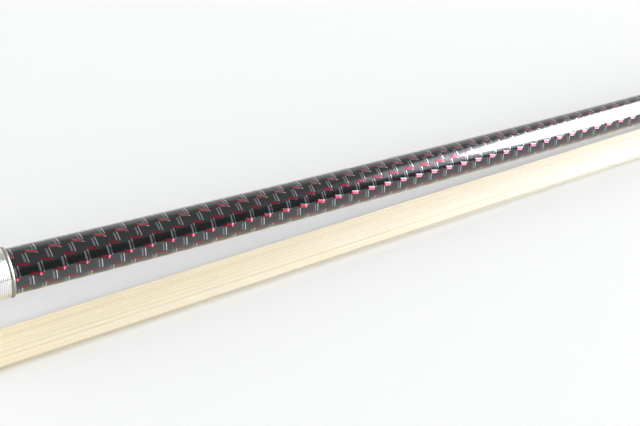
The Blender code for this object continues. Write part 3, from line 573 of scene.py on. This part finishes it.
def makeHair():
    # long strands in two tones, paler towards the head, partly for yellowing near the frog and partly as
    # a painted highlight; u is x in metres, v runs from -1 to 1 across
    material, tree, shader = newMaterial("horsehair", (0.9, 0.85, 0.72), 0.42, **coat(0.8, 0.45))
    where = objectCoords(tree)
    strands = noise(tree, stretched(tree, where, hairLook["strandScale"]), 1.0, 3, 0.7)
    patches = noise(tree, stretched(tree, where, hairLook["patchScale"]), 1.0, 2)
    split = tree.nodes.new("ShaderNodeSeparateXYZ")
    tree.links.new(uvCoords(tree), split.inputs[0])
    # paler towards the head: partly real yellowing near the frog, partly a painted highlight where the
    # hair is lit brighter
    toHead = fade(tree, split.outputs["X"], *hairLook["change"])
    pale = mixColour(tree, toHead, hairLook["frogPale"], hairLook["headPale"])
    deep = mixColour(tree, toHead, hairLook["frogDeep"], hairLook["headDeep"])
    colour = mixColour(tree, fade(tree, strands, 0.35, 0.7), pale, deep)
    colour = mixColour(tree, fade(tree, patches, 0.45, 0.75, 0.0, 0.35), colour, hairLook["patch"])
    # deeper towards the +y side, and a brown rim along the -y one, painted shade on the ribbon's front
    # edge
    side = fade(tree, split.outputs["Y"], 0.3, 1.0, 0.0, 0.5)
    colour = mixColour(tree, side, colour, hairLook["farSide"])
    rim = fade(tree, split.outputs["Y"], *hairLook["rimEdge"], 1.0, 0.0)
    colour = mixColour(tree, rim, colour, hairLook["nearEdgeShade"])
    tree.links.new(colour, shader.inputs["Base Color"])
    tree.links.new(fade(tree, strands, 0.3, 0.7, 0.36, 0.5), shader.inputs["Roughness"])
    return material


carbon = makeCarbon()
silver = makeMetal("silver", (0.9, 0.9, 0.88), 0.16, 0.22, 0.003 * mm)
dullSilver = makeMetal("dullSilver", (0.34, 0.33, 0.29), 0.38, 0.5, 0.01 * mm)
steel = makeMetal("steel", (0.56, 0.57, 0.59), 0.25, 0.35, 0.006 * mm)
brass = makeMetal("brass", (0.8, 0.62, 0.32), 0.28, 0.42, 0.006 * mm)
ebony = makeEbony()
pearl = makePearl()
bone = makeBone()
maple = makeMaple()
thread = makeThread()
leather = makeLeather()
hair = makeHair()
finishes = {
    "carbon_weave": carbon, "silver": silver, "dull_silver": dullSilver, "steel": steel, "brass": brass,
    "ebony": ebony, "pearl": pearl, "bone": bone, "maple": maple, "thread": thread, "leather": leather,
    "horsehair": hair,
}
print("materials made:", len(finishes))

# stick

stick = {
    "start": 14 * mm,  # from the button's end
    "octagon": 8.6 * mm,  # across the flats under the frog
    "octagonRound": 9.2 * mm,  # across the rounded corners
    "octagonEnd": 63.9 * mm,
    "chamfer": 0.3 * mm,
    "seatDepth": 0.3 * mm,  # under the leather and the winding
    "seatEnd": 160.4 * mm,
    "bore": 1.8 * mm,
    "boreEnd": 58.3 * mm,
    "counterbore": 2.8 * mm,
    "counterboreEnd": 20.3 * mm,
    "eyeletSlot": ((31.8 * mm, -2.3 * mm, -9 * mm), (43.3 * mm, 2.3 * mm, 2.7 * mm)),
    "around": 96,
    "step": 6 * mm,
    "headSections": 72,
}
head = {
    "length": 41 * mm,
    "plateLength": 26 * mm,
    "plateWidth": 10.4 * mm,
    "seat": 4.6 * mm,  # above the floor
    "plateFace": 2.2 * mm,
    "mortiseInset": 4.5 * mm,
    "mortiseLength": 8 * mm,
    "mortiseWidth": 7.6 * mm,
    "mortiseDepth": 7.5 * mm,
    "mortiseFoot": -2 * mm,
    "noseStart": 1.5 * mm,
    # shares of the head's length, and of its height above the seat
    "ridge": ((0.20, 1.03), (0.40, 0.98), (0.58, 0.83), (0.74, 0.57), (0.87, 0.27), (1.0, 0.0)),
    "throat": ((0.13, 0.735), (0.25, 0.70), (0.32, 0.55), (0.345, 0.36), (0.355, 0.18)),
}
headX = float(axisFrame(bow["headStart"])[0][0])
noseX = headX + head["length"]
plateHeel = noseX - head["plateLength"]
ringAngles = 2 * math.pi * (np.arange(stick["around"]) + 0.5) / stick["around"]


def noseDrop(x):
    # how far the sole has come down to the floor: the square of the way from the mortise to the nose
    flatEnd = plateHeel + head["mortiseInset"] + head["mortiseLength"] + head["noseStart"]
    return head["plateFace"] * (np.maximum(x - flatEnd, 0) / (noseX - flatEnd)) ** 2


def headOutline(angles, squareness):
    # a circle that turns into the plate's outline: powers of the cosine and the sine
    cosine, sine = np.cos(angles), np.sin(angles)
    outer = cosine > 0
    placePower = np.where(outer, 1.0, 1 - 0.75 * squareness)
    widthPower = np.where(outer, 1 + 0.33 * squareness, 1 - 0.75 * squareness)
    place = np.sign(cosine) * np.abs(cosine) ** placePower
    width = np.sign(sine) * np.abs(sine) ** widthPower
    return place, width


def headPoints():
    # sections that swing from the stick's end, between the ridge and the throat, down to the seat
    first = float(stickRadius(bow["headStart"]))
    middle, _, up = axisFrame(bow["headStart"])
    top, foot = middle + up * first, middle - up * first
    length, seat = head["length"], head["seat"]
    height = top[2] - seat
    ridge = [top, *((headX + a * length, 0, seat + b * height) for a, b in head["ridge"])]
    throat = [foot, *((headX + a * length, 0, seat + b * height) for a, b in head["throat"])]
    throat.append((plateHeel, 0, seat))
    share = np.arange(1, stick["headSections"] + 1) / stick["headSections"]
    outer, inner = curveThrough(ridge, share), curveThrough(throat, share)
    width = first + (head["plateWidth"] / 2 - first) * ease(share)
    place, side = headOutline(ringAngles[None], ease(share * 1.4)[:, None])
    points = ((outer + inner) / 2)[:, None] + ((outer - inner) / 2)[:, None] * place[..., None]
    points[..., 1] = -width[:, None] * side
    sink = np.clip(1 - (points[..., 2] - seat) / (height / 2), 0, 1)
    points[..., 2] -= noseDrop(points[..., 0]) * sink
    return points, share


def weavePeriods(along):
    # periods from the winding's front end: the threads draw closer as the stick thins
    x = np.arange(0, bow["length"] + 10 * mm, 1 * mm)
    width = stickRadius(x) / float(stickRadius(bow["windingFront"]))
    each = 1 * mm / (weave["period"] * width ** weave["thinning"])
    count = np.cumsum(each) - each
    return np.interp(along, x, count) - np.interp(bow["windingFront"], x, count)


def weaveRows(points, plainRings):
    # rows from the top of each ring: by angle on the stick, and by the way round the head's sections
    step = 2 * math.pi / weave["rows"]
    angles = (ringAngles + math.pi) % (2 * math.pi) - math.pi
    rows = np.repeat(angles[None] / step, len(points), axis=0)
    width = float(stickRadius(bow["headStart"])) * step
    half = stick["around"] // 2
    one = points[plainRings:, :half]
    reach = np.linalg.norm(np.diff(one, axis=1), axis=2).cumsum(axis=1)
    first = np.linalg.norm(one[:, 0] - points[plainRings:, -1], axis=1) / 2
    way = np.concatenate([first[:, None], first[:, None] + reach], axis=1) / width
    rows[plainRings:] = np.concatenate([way, -way[:, ::-1]], axis=1)
    return rows - weave["rowAngle"] / math.degrees(step)


def makeStick():
    # a lofted skin: bore, butt, octagon, seat of the grip, curved run, head
    off = (ringAngles + math.pi / 8) % (math.pi / 4) - math.pi / 8
    octagon = stick["octagon"] / 2 / np.cos(off)
    cornerCut = np.minimum(octagon, stick["octagonRound"] / 2)
    plain = np.ones(stick["around"])
    start, end, counter = stick["start"], stick["octagonEnd"], stick["counterboreEnd"]
    chamfer = stick["chamfer"]
    rows = [
        (stick["boreEnd"], plain * stick["bore"]),
        (counter, plain * stick["bore"]),
        (counter, plain * stick["counterbore"]),
        (start, plain * stick["counterbore"]),
        (start, cornerCut - chamfer),
        (start + chamfer, cornerCut),
    ]
    rows += [(x, cornerCut) for x in np.linspace(start + 3 * mm, end - chamfer, 9)]
    rows += [(end, cornerCut - chamfer)]
    seatX = np.linspace(end, stick["seatEnd"], 8)
    rows += [(x, plain * (stickRadius(x) - stick["seatDepth"])) for x in seatX]
    runX = np.arange(stick["seatEnd"], bow["headStart"], stick["step"])
    runX = np.append(runX, bow["headStart"])
    rows += [(x, plain * stickRadius(x)) for x in runX]
    xs = np.array([x for x, _ in rows])
    body = roundGrid(xs, np.array([r for _, r in rows]), ringAngles)
    tip, share = headPoints()
    points = np.concatenate([body, tip])
    along = np.concatenate([xs, bow["headStart"] + head["length"] * 1.1 * share])
    u = weavePeriods(along)
    v = weaveRows(points, len(body))
    rings, around = len(points), stick["around"]
    faces = gridFaces(rings, around)
    last = (rings - 1) * around
    i = np.arange(around // 2 - 1)
    faces += (last + np.stack([i, i + 1, around - 2 - i, around - 1 - i], -1)).tolist()
    faces.append(tuple(range(around)))

    def weaveUv(loops):
        # the seam of the wrap is underneath, where a face's corners lie on both sides of 180 degrees
        grid = np.stack([u[loops // around], v.reshape(-1)[loops]], -1)
        quads = (rings - 1) * around
        corners = grid[: quads * 4].reshape(-1, 4, 2)
        wide = np.ptp(corners[..., 1], axis=1) > weave["rows"] / 2
        low = corners[..., 1] < 0
        turns = np.ptp(corners[..., 1], axis=1)[:, None]
        corners[..., 1] += np.where(wide[:, None] & low, turns, 0)
        return grid

    skin = newPiece("carbonStick", points, faces, carbon, weaveUv, sharp=32)
    cutWith(skin, "eyeletSlot", *stick["eyeletSlot"], True)
    back = plateHeel + head["mortiseInset"]
    half = head["mortiseWidth"] / 2
    top = head["seat"] + head["mortiseDepth"]
    low, high = (back, -half, head["mortiseFoot"]), (back + head["mortiseLength"], half, top)
    cutWith(skin, "headMortise", low, high, False)
    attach(skin, "bow")
    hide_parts("stick")


makeStick()
print("stick made")

# grip: wire winding, its end ring and the thumb leather

winding = {
    "start": 88.3 * mm,
    "end": 160.1 * mm,
    "pitch": 0.3 * mm,
    "wire": 0.165 * mm,  # radius
    "perTurn": 32,
    "sides": 6,
}
grip = {
    # (x, height over the stick) in mm
    "ring": (
        (159.8, -0.2), (159.8, 0.2), (159.9, 0.32), (160.05, 0.35),
        (160.3, 0.34), (160.45, 0.25), (160.5, 0.1), (160.5, -0.2),
    ),
    "leather": (
        (64.0, 0.0), (64.0, 0.3), (64.3, 0.5), (65.2, 0.68), (66.5, 0.86), (68.0, 0.92), (76.0, 0.95),
        (84.0, 0.92), (85.5, 0.86), (86.8, 0.68), (87.7, 0.5), (88.0, 0.3), (88.0, 0.0),
    ),
    "patch": 1 * mm,  # size of a unit of the leather's texture
    "patchRadius": 4.6 * mm,
}


def makeWinding():
    # one wire: a small circle carried along a helix whose radius follows the stick
    turns = (winding["end"] - winding["start"] - 2 * winding["wire"]) / winding["pitch"]
    angle = np.linspace(0, 2 * math.pi * turns, int(turns * winding["perTurn"]) + 1)
    x = winding["start"] + winding["wire"] + winding["pitch"] * angle / (2 * math.pi)
    middle, along, up = axisFrame(x)
    out = np.cos(angle)[:, None] * up + np.sin(angle)[:, None] * np.array([0, -1, 0])
    centre = middle + out * (stickRadius(x) + winding["wire"])[:, None]
    turn = 2 * math.pi * np.arange(winding["sides"]) / winding["sides"]
    ring = out[:, None] * np.cos(turn)[:, None] + along[:, None] * np.sin(turn)[:, None]
    points = centre[:, None] + winding["wire"] * ring
    rings, around = points.shape[:2]
    faces = gridFaces(rings, around)
    faces += [tuple(range(around)), tuple(range((rings - 1) * around, rings * around))]
    wire = newPiece("windingWire", points, faces, silver)
    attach(wire, "bow")
    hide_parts("winding")


def turnedPiece(name, node, profile, material, around=64, patch=None):
    # a profile of (x, height over the stick) carried round the stick's axis and closed on itself
    profile = np.asarray(profile, float) * mm
    x = profile[:, 0]
    radius = stickRadius(x) + profile[:, 1]
    angles = 2 * math.pi * np.arange(around) / around
    points = roundGrid(x, radius[:, None], angles)
    rings = len(points)
    faces = (np.array(gridFaces(rings + 1, around)) % (rings * around)).tolist()
    turn = 2 * math.pi * grip["patchRadius"] / (patch or 1)

    def skinUv(loops):
        # x along, and the way round across; faces over the seam get a whole turn more
        grid = np.stack([x[loops // around] / patch, turn * (loops % around) / around], -1)
        corners = grid.reshape(-1, 4, 2)
        wide = np.ptp(corners[..., 1], axis=1) > turn / 2
        low = corners[..., 1] < turn / 2
        corners[..., 1] += np.where(wide[:, None] & low, turn, 0)
        return grid

    piece = newPiece(name, points, faces, material, skinUv if patch else None)
    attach(piece, "bow")
    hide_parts(node)


makeWinding()
turnedPiece("windingEndRing", "winding_end_ring", grip["ring"], dullSilver)
turnedPiece("thumbLeather", "thumb_leather", grip["leather"], leather, 96, grip["patch"])
print("grip made")

# hair

ribbon = {
    "frogWidth": 10 * mm,
    "headWidth": 8.4 * mm,
    "mortiseWidth": 7 * mm,
    "thickness": 0.8 * mm,
    "core": 0.5,  # share of the thickness that the core fills
    "gap": 0.3 * mm,  # between the hair and what it bends round
    "knotRise": 5.4 * mm,  # in the frog's mortise
    "slideReach": 6 * mm,  # over which it widens on the slide
    "bendFrom": 10.7 * mm,  # back from the frog's front, the last of the slide
    "bendTo": 6.6 * mm,  # the same, where it lies as low as at the ferrule
    "runStart": 6 * mm,  # ahead of the ferrule
    "runPoints": 12,
    "ferrulePoint": 9,  # of the path's points, the one at the ferrule's front
    "stillEnd": 4 * mm,  # behind the head's plate, where it stays
    "knotDrop": 3.6 * mm,  # below the top of the head's mortise
    "strands": 220,
    "strandRadius": 0.1 * mm,
    "layers": (0.45, 0.85),  # shares of the half thickness
    "laneShift": 0.01,  # shares of the half width
    "laneWander": 0.012,
    "layerShift": 0.1,
    "seed": 7,
}
frog = {
    "heel": 20 * mm,  # from the button's end
    "length": 44 * mm,
    "slideFace": 2.2 * mm,  # above the sole
    "mortiseFront": 21.5 * mm,
}
frogFront = frog["heel"] + frog["length"]
soleDrop = (
    bow["axisHeight"] + (bow["windingFront"] - frogFront) * math.sin(bow["slope"])
) / math.cos(bow["slope"])


def onFrog(x, z):
    # a place on the frog, x from its heel and z above its sole, in the world
    middle, _, up = axisFrame(frog["heel"] + x)
    return middle + up * (z - soleDrop)


def hairPath():
    # middle line of the hair with half widths: frog mortise, slide, ferrule, run, head mortise
    gap = ribbon["gap"]
    wrap = gap + ribbon["thickness"] / 2
    overSlide = frog["slideFace"] + wrap
    edge, front = frog["mortiseFront"], frog["length"]
    narrow, wide = ribbon["mortiseWidth"] / 2, ribbon["frogWidth"] / 2
    path = [(onFrog(edge - wrap, overSlide + wrap + ribbon["knotRise"]), narrow)]
    for angle in np.linspace(0, math.pi / 2, 5):
        down = overSlide + wrap - wrap * math.sin(angle)
        path.append((onFrog(edge - wrap * math.cos(angle), down), narrow))
    path.append((onFrog(edge + ribbon["slideReach"], overSlide), wide))
    path.append((onFrog(front - ribbon["bendFrom"], overSlide), wide))
    path.append((onFrog(front - ribbon["bendTo"], bow["hairMiddle"]), wide))
    path.append((onFrog(front - gap, bow["hairMiddle"]), wide))
    startX = path[-1][0][0] + ribbon["runStart"]
    for share in np.linspace(0, 1, ribbon["runPoints"]):
        half = wide + (ribbon["headWidth"] / 2 - wide) * share
        path.append((np.array([startX + (plateHeel - startX) * share, 0, bow["hairMiddle"]]), half))
    edge = plateHeel + head["mortiseInset"]
    for angle in np.linspace(0, math.pi / 2, 5):
        place = (edge + wrap * math.sin(angle), 0, head["plateFace"] - wrap * math.cos(angle))
        path.append((np.array(place), narrow))
    top = head["seat"] + head["mortiseDepth"] - ribbon["knotDrop"]
    path.append((np.array([edge + wrap, 0, top]), narrow))
    return np.array([p for p, _ in path]), np.array([w for _, w in path])


def makeRibbon():
    # a flat core with loose strands over it, both carried along the hair's path
    places, halves = hairPath()
    along = np.gradient(places, axis=0)
    along /= np.linalg.norm(along, axis=1, keepdims=True)
    up = np.stack([-along[:, 2], 0 * along[:, 0], along[:, 0]], -1)
    side = np.array([0, 1, 0])
    # core: a flat rounded section carried along the path
    turn = 2 * math.pi * np.arange(16) / 16
    flat = np.sign(np.cos(turn)) * np.abs(np.cos(turn)) ** 0.35
    thick = ribbon["thickness"] / 2 * ribbon["core"]
    core = (
        places[:, None]
        + side * (halves[:, None] * 0.97 * flat)[..., None]
        + up[:, None] * (thick * np.sin(turn))[None, :, None]
    )
    rings, around = core.shape[:2]
    verts = [core.reshape(-1, 3)]
    faces = gridFaces(rings, around)
    faces += [tuple(range(around)), tuple(range((rings - 1) * around, rings * around))]
    # strands: thin four-sided bars in three loose layers on each face of the core
    random = np.random.default_rng(ribbon["seed"])
    count = ribbon["strands"]
    keep = np.arange(ribbon["ferrulePoint"], len(places) - 1)
    shift, wander, rise = ribbon["laneShift"], ribbon["laneWander"], ribbon["layerShift"]
    lane = np.linspace(-1, 1, count) + random.uniform(-shift, shift, count)
    layer = random.uniform(-1, 1, count)
    low, high = ribbon["layers"]
    layer = np.sign(layer) * (low + (high - low) * np.abs(layer))
    wander = random.uniform(-wander, wander, (count, len(keep))).cumsum(axis=1) * 0.5
    across = np.clip(lane[:, None] + wander, -1, 1) * (halves[keep] - ribbon["strandRadius"])[None]
    depth = ribbon["thickness"] / 2 - ribbon["strandRadius"]
    lift = (layer[:, None] + random.uniform(-rise, rise, (count, len(keep)))).clip(-1, 1) * depth
    centre = places[keep][None] + side * across[..., None] + up[keep][None] * lift[..., None]
    spin = math.pi / 2 * np.arange(4)
    ring = side * np.cos(spin)[:, None] + up[keep][:, None] * np.sin(spin)[:, None]
    bars = centre[:, :, None] + ribbon["strandRadius"] * ring[None]
    first = len(verts[0])
    each = len(keep) * 4
    one = gridFaces(len(keep), 4) + [(0, 1, 2, 3), tuple(each - 4 + k for k in range(4))]
    offset = first + each * np.arange(count)[:, None, None]
    faces += (np.array(one)[None] + offset).reshape(-1, 4).tolist()
    verts = np.concatenate([*verts, bars.reshape(-1, 3)])
    coreHalf = np.repeat(halves, around)
    barHalf = np.tile(np.repeat(halves[keep], 4), count)
    shares = verts[:, 1] / np.concatenate([coreHalf, barHalf])
    uv = np.stack([verts[:, 0], shares], -1)
    piece = newPiece("hairBand", verts, faces, hair, lambda loops: uv[loops])
    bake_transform(piece)
    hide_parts("hair_ribbon")


makeRibbon()
print("hair made")

# carried-over nodes: softened copies with better finishes

# widths of the rounded edges in mm
softened = {
    "button_cap": 0.12, "button_core": 0.1, "button_collar": 0.12, "button_eye": 0.15,
    "ferrule": 0.12, "heel_plate_back": 0.15, "heel_plate_bottom": 0.15, "eye_left": 0.12,
    "eye_right": 0.12, "eye_ring_left": 0.12, "eye_ring_right": 0.12, "tip_plate": 0.2,
    "tip_liner": 0.08, "frog_body": 0.25, "pearl_slide": 0.15,
}
rounding = {"merge": 0.002 * mm, "flat": 1, "edge": 30, "sharp": 60}  # angles in degrees
slotOf = {name: thing.data.materials[0].name.split(".")[0] for name, thing in nodes.items()}


def soften(name, width):
    # the node's mesh with doubles merged and flat faces joined, then its edges rounded
    source = nodes[name]
    mesh = source.data.copy()
    bm = bmesh.new()
    bm.from_mesh(mesh)
    bmesh.ops.remove_doubles(bm, verts=bm.verts, dist=rounding["merge"])
    flat = math.radians(rounding["flat"])
    bmesh.ops.dissolve_limit(bm, angle_limit=flat, verts=bm.verts, edges=bm.edges)
    bm.to_mesh(mesh)
    bm.free()
    mesh.materials.clear()
    mesh.materials.append(finishes[slotOf[name]])
    mesh.shade_smooth()
    thing = bpy.data.objects.new(name + ".soft", mesh)
    bpy.context.scene.collection.objects.link(thing)
    edge = thing.modifiers.new("edge", "BEVEL")
    edge.width = width * mm
    edge.segments = 2
    edge.limit_method = "ANGLE"
    edge.angle_limit = math.radians(rounding["edge"])
    edge.harden_normals = False
    mesh.set_sharp_from_angle(angle=math.radians(rounding["sharp"]))
    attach(thing, source["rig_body"])
    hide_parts(name)


for name, width in softened.items():
    soften(name, width)
replaced = {"stick", "winding", "winding_end_ring", "thumb_leather", "hair_ribbon", *softened}
for name, thing in nodes.items():
    if name not in replaced:
        for place in thing.material_slots:
            place.material = finishes[slotOf[name]]
print("nodes finished:", len(nodes))

# floor, light and camera

studio = {
    "floor": (0.93, 0.94, 0.94),
    "floorReach": 4.0,
    "sky": 0.42,  # overhead, in reflections
    "skyFade": (0.5, 0.75),  # heights of a direction over which it starts
    "far": 0.84,  # beyond the bow, in reflections
    "near": 0.024,  # behind the camera, in reflections
    "farAt": 20,  # azimuth
    "farFade": (-0.5, 0.6),  # cosines to that azimuth over which near turns into far
    "backdrop": 0.94,
    "ambient": 0.61,  # from all round, on dull surfaces
    "aim": 110 * mm,  # ahead of the winding, the place on the stick that the softbox faces
    "softboxAt": (126, 36),  # azimuth and elevation, seen from there
    "softboxDistance": 1.6,
    "softboxDrop": 0.98,  # down and back from there, so that its rim ends the stick's highlight
    "spanFrom": (105, 47),  # the highlight's run over the softbox, as two directions
    "spanTo": (137, 18),
    "softboxRadius": 1.085,
    "softboxPower": 225.0,
    "keyAt": (165, 30),
    "keyDistance": 8.0,
    "keySize": 6.7,
    "keyPower": 640.0,
    "haloRadius": 1.27,  # a dimmer rim round the softbox
    "haloPower": 44.0,
    "haloBehind": 0.02,
    "haloColour": (0.88, 0.86, 1.0),
}


def makeFloor():
    # one flat quad under the bow
    size = studio["floorReach"]
    verts = [(-size, -size, 0), (size, -size, 0), (size, size, 0), (-size, size, 0)]
    material, tree, shader = newMaterial("paleFloor", studio["floor"], 0.9)
    shader.inputs["Specular IOR Level"].default_value = 0.2
    floor = newPiece("floor", verts, [(0, 1, 2, 3)], material)


def directionOf(azimuth, elevation):
    # azimuth from +Y towards +X, in degrees
    a, e = math.radians(azimuth), math.radians(elevation)
    return np.array([math.sin(a) * math.cos(e), math.cos(a) * math.cos(e), math.sin(e)])


def makeWorld():
    # camera rays see the backdrop, reflections a bright far and a dark near side, the rest plain light
    world = bpy.data.worlds.new("studio")
    bpy.context.scene.world = world
    world.use_nodes = True
    tree = world.node_tree
    tree.nodes.clear()
    out = tree.nodes.new("ShaderNodeOutputWorld")
    back = tree.nodes.new("ShaderNodeBackground")
    where = tree.nodes.new("ShaderNodeTexCoord").outputs["Generated"]
    dot = tree.nodes.new("ShaderNodeVectorMath")
    dot.operation = "DOT_PRODUCT"
    tree.links.new(where, dot.inputs[0])
    dot.inputs[1].default_value = directionOf(studio["farAt"], 0)
    split = tree.nodes.new("ShaderNodeSeparateXYZ")
    tree.links.new(where, split.inputs[0])
    level = fade(tree, dot.outputs["Value"], *studio["farFade"], studio["near"], studio["far"])
    height = fade(tree, split.outputs["Z"], *studio["skyFade"])
    blendNode = tree.nodes.new("ShaderNodeMix")
    tree.links.new(height, blendNode.inputs["Factor"])
    tree.links.new(level, blendNode.inputs["A"])
    blendNode.inputs["B"].default_value = studio["sky"]
    rays = tree.nodes.new("ShaderNodeLightPath").outputs
    mirrored = tree.nodes.new("ShaderNodeMix")
    tree.links.new(rays["Is Glossy Ray"], mirrored.inputs["Factor"])
    mirrored.inputs["A"].default_value = studio["ambient"]
    tree.links.new(blendNode.outputs[0], mirrored.inputs["B"])
    strength = tree.nodes.new("ShaderNodeMix")
    tree.links.new(rays["Is Camera Ray"], strength.inputs["Factor"])
    tree.links.new(mirrored.outputs[0], strength.inputs["A"])
    strength.inputs["B"].default_value = studio["backdrop"]
    back.inputs["Color"].default_value = (1, 1, 1, 1)
    tree.links.new(strength.outputs[0], back.inputs["Strength"])
    tree.links.new(back.outputs[0], out.inputs[0])


def areaLight(name, shape, power, size, place, facing, glossy=True, diffuse=True):
    # a light at a place that looks along the direction facing
    light = bpy.data.lights.new(name, "AREA")
    light.shape = shape
    light.size = size
    light.energy = power
    thing = bpy.data.objects.new(name, light)
    bpy.context.scene.collection.objects.link(thing)
    turn = Vector(facing).to_track_quat("-Z", "Y").to_matrix().to_4x4()
    thing.matrix_world = Matrix.Translation(Vector(place)) @ turn
    thing.visible_camera = False
    thing.visible_glossy = glossy
    thing.visible_diffuse = diffuse
    return light


def makeLights():
    # a round softbox with a halo that only reflections see, and a square key that lights dull surfaces
    target = axisFrame(bow["windingFront"] + studio["aim"])[0]
    away = directionOf(*studio["softboxAt"])
    span = directionOf(*studio["spanFrom"]) - directionOf(*studio["spanTo"])
    span -= away * span.dot(away)
    span /= np.linalg.norm(span)
    aside = np.cross(away, span)
    place = target + away * studio["softboxDistance"] - aside * studio["softboxDrop"]
    size = 2 * studio["softboxRadius"]
    areaLight("softbox", "DISK", studio["softboxPower"], size, place, -away, diffuse=False)
    size = 2 * studio["haloRadius"]
    place = place + away * studio["haloBehind"]
    halo = areaLight("halo", "DISK", studio["haloPower"], size, place, -away, diffuse=False)
    halo.color = studio["haloColour"]
    keyWay = directionOf(*studio["keyAt"])
    place = keyWay * studio["keyDistance"]
    areaLight("key", "SQUARE", studio["keyPower"], studio["keySize"], place, -keyWay, glossy=False)


makeFloor()
makeWorld()
makeLights()

view = {
    "place": (-0.2373, -0.1336, 0.1205),
    "yaw": 32.35,  # from +Y towards +X
    "pitch": 35.04,  # downwards
    "roll": 2.96,
    "lens": 56.25,
    "sensor": 36,
    "nearest": 0.01,
}


def makeCamera():
    # looks along yaw and pitch, then leans by roll
    yaw, roll = math.radians(view["yaw"]), math.radians(view["roll"])
    ahead = Vector(directionOf(view["yaw"], -view["pitch"]))
    level = Vector((math.cos(yaw), -math.sin(yaw), 0))
    upright = level.cross(ahead)
    right = level * math.cos(roll) + upright * math.sin(roll)
    up = upright * math.cos(roll) - level * math.sin(roll)
    lens = bpy.data.cameras.new("camera")
    lens.lens = view["lens"]
    lens.sensor_width = view["sensor"]
    lens.clip_start = view["nearest"]
    camera = bpy.data.objects.new("camera", lens)
    columns = Matrix((right, up, -ahead)).transposed().to_4x4()
    camera.matrix_world = Matrix.Translation(view["place"]) @ columns
    bpy.context.scene.collection.objects.link(camera)
    bpy.context.scene.camera = camera


makeCamera()
bpy.context.scene.view_settings.view_transform = "Standard"

print("scene ready")
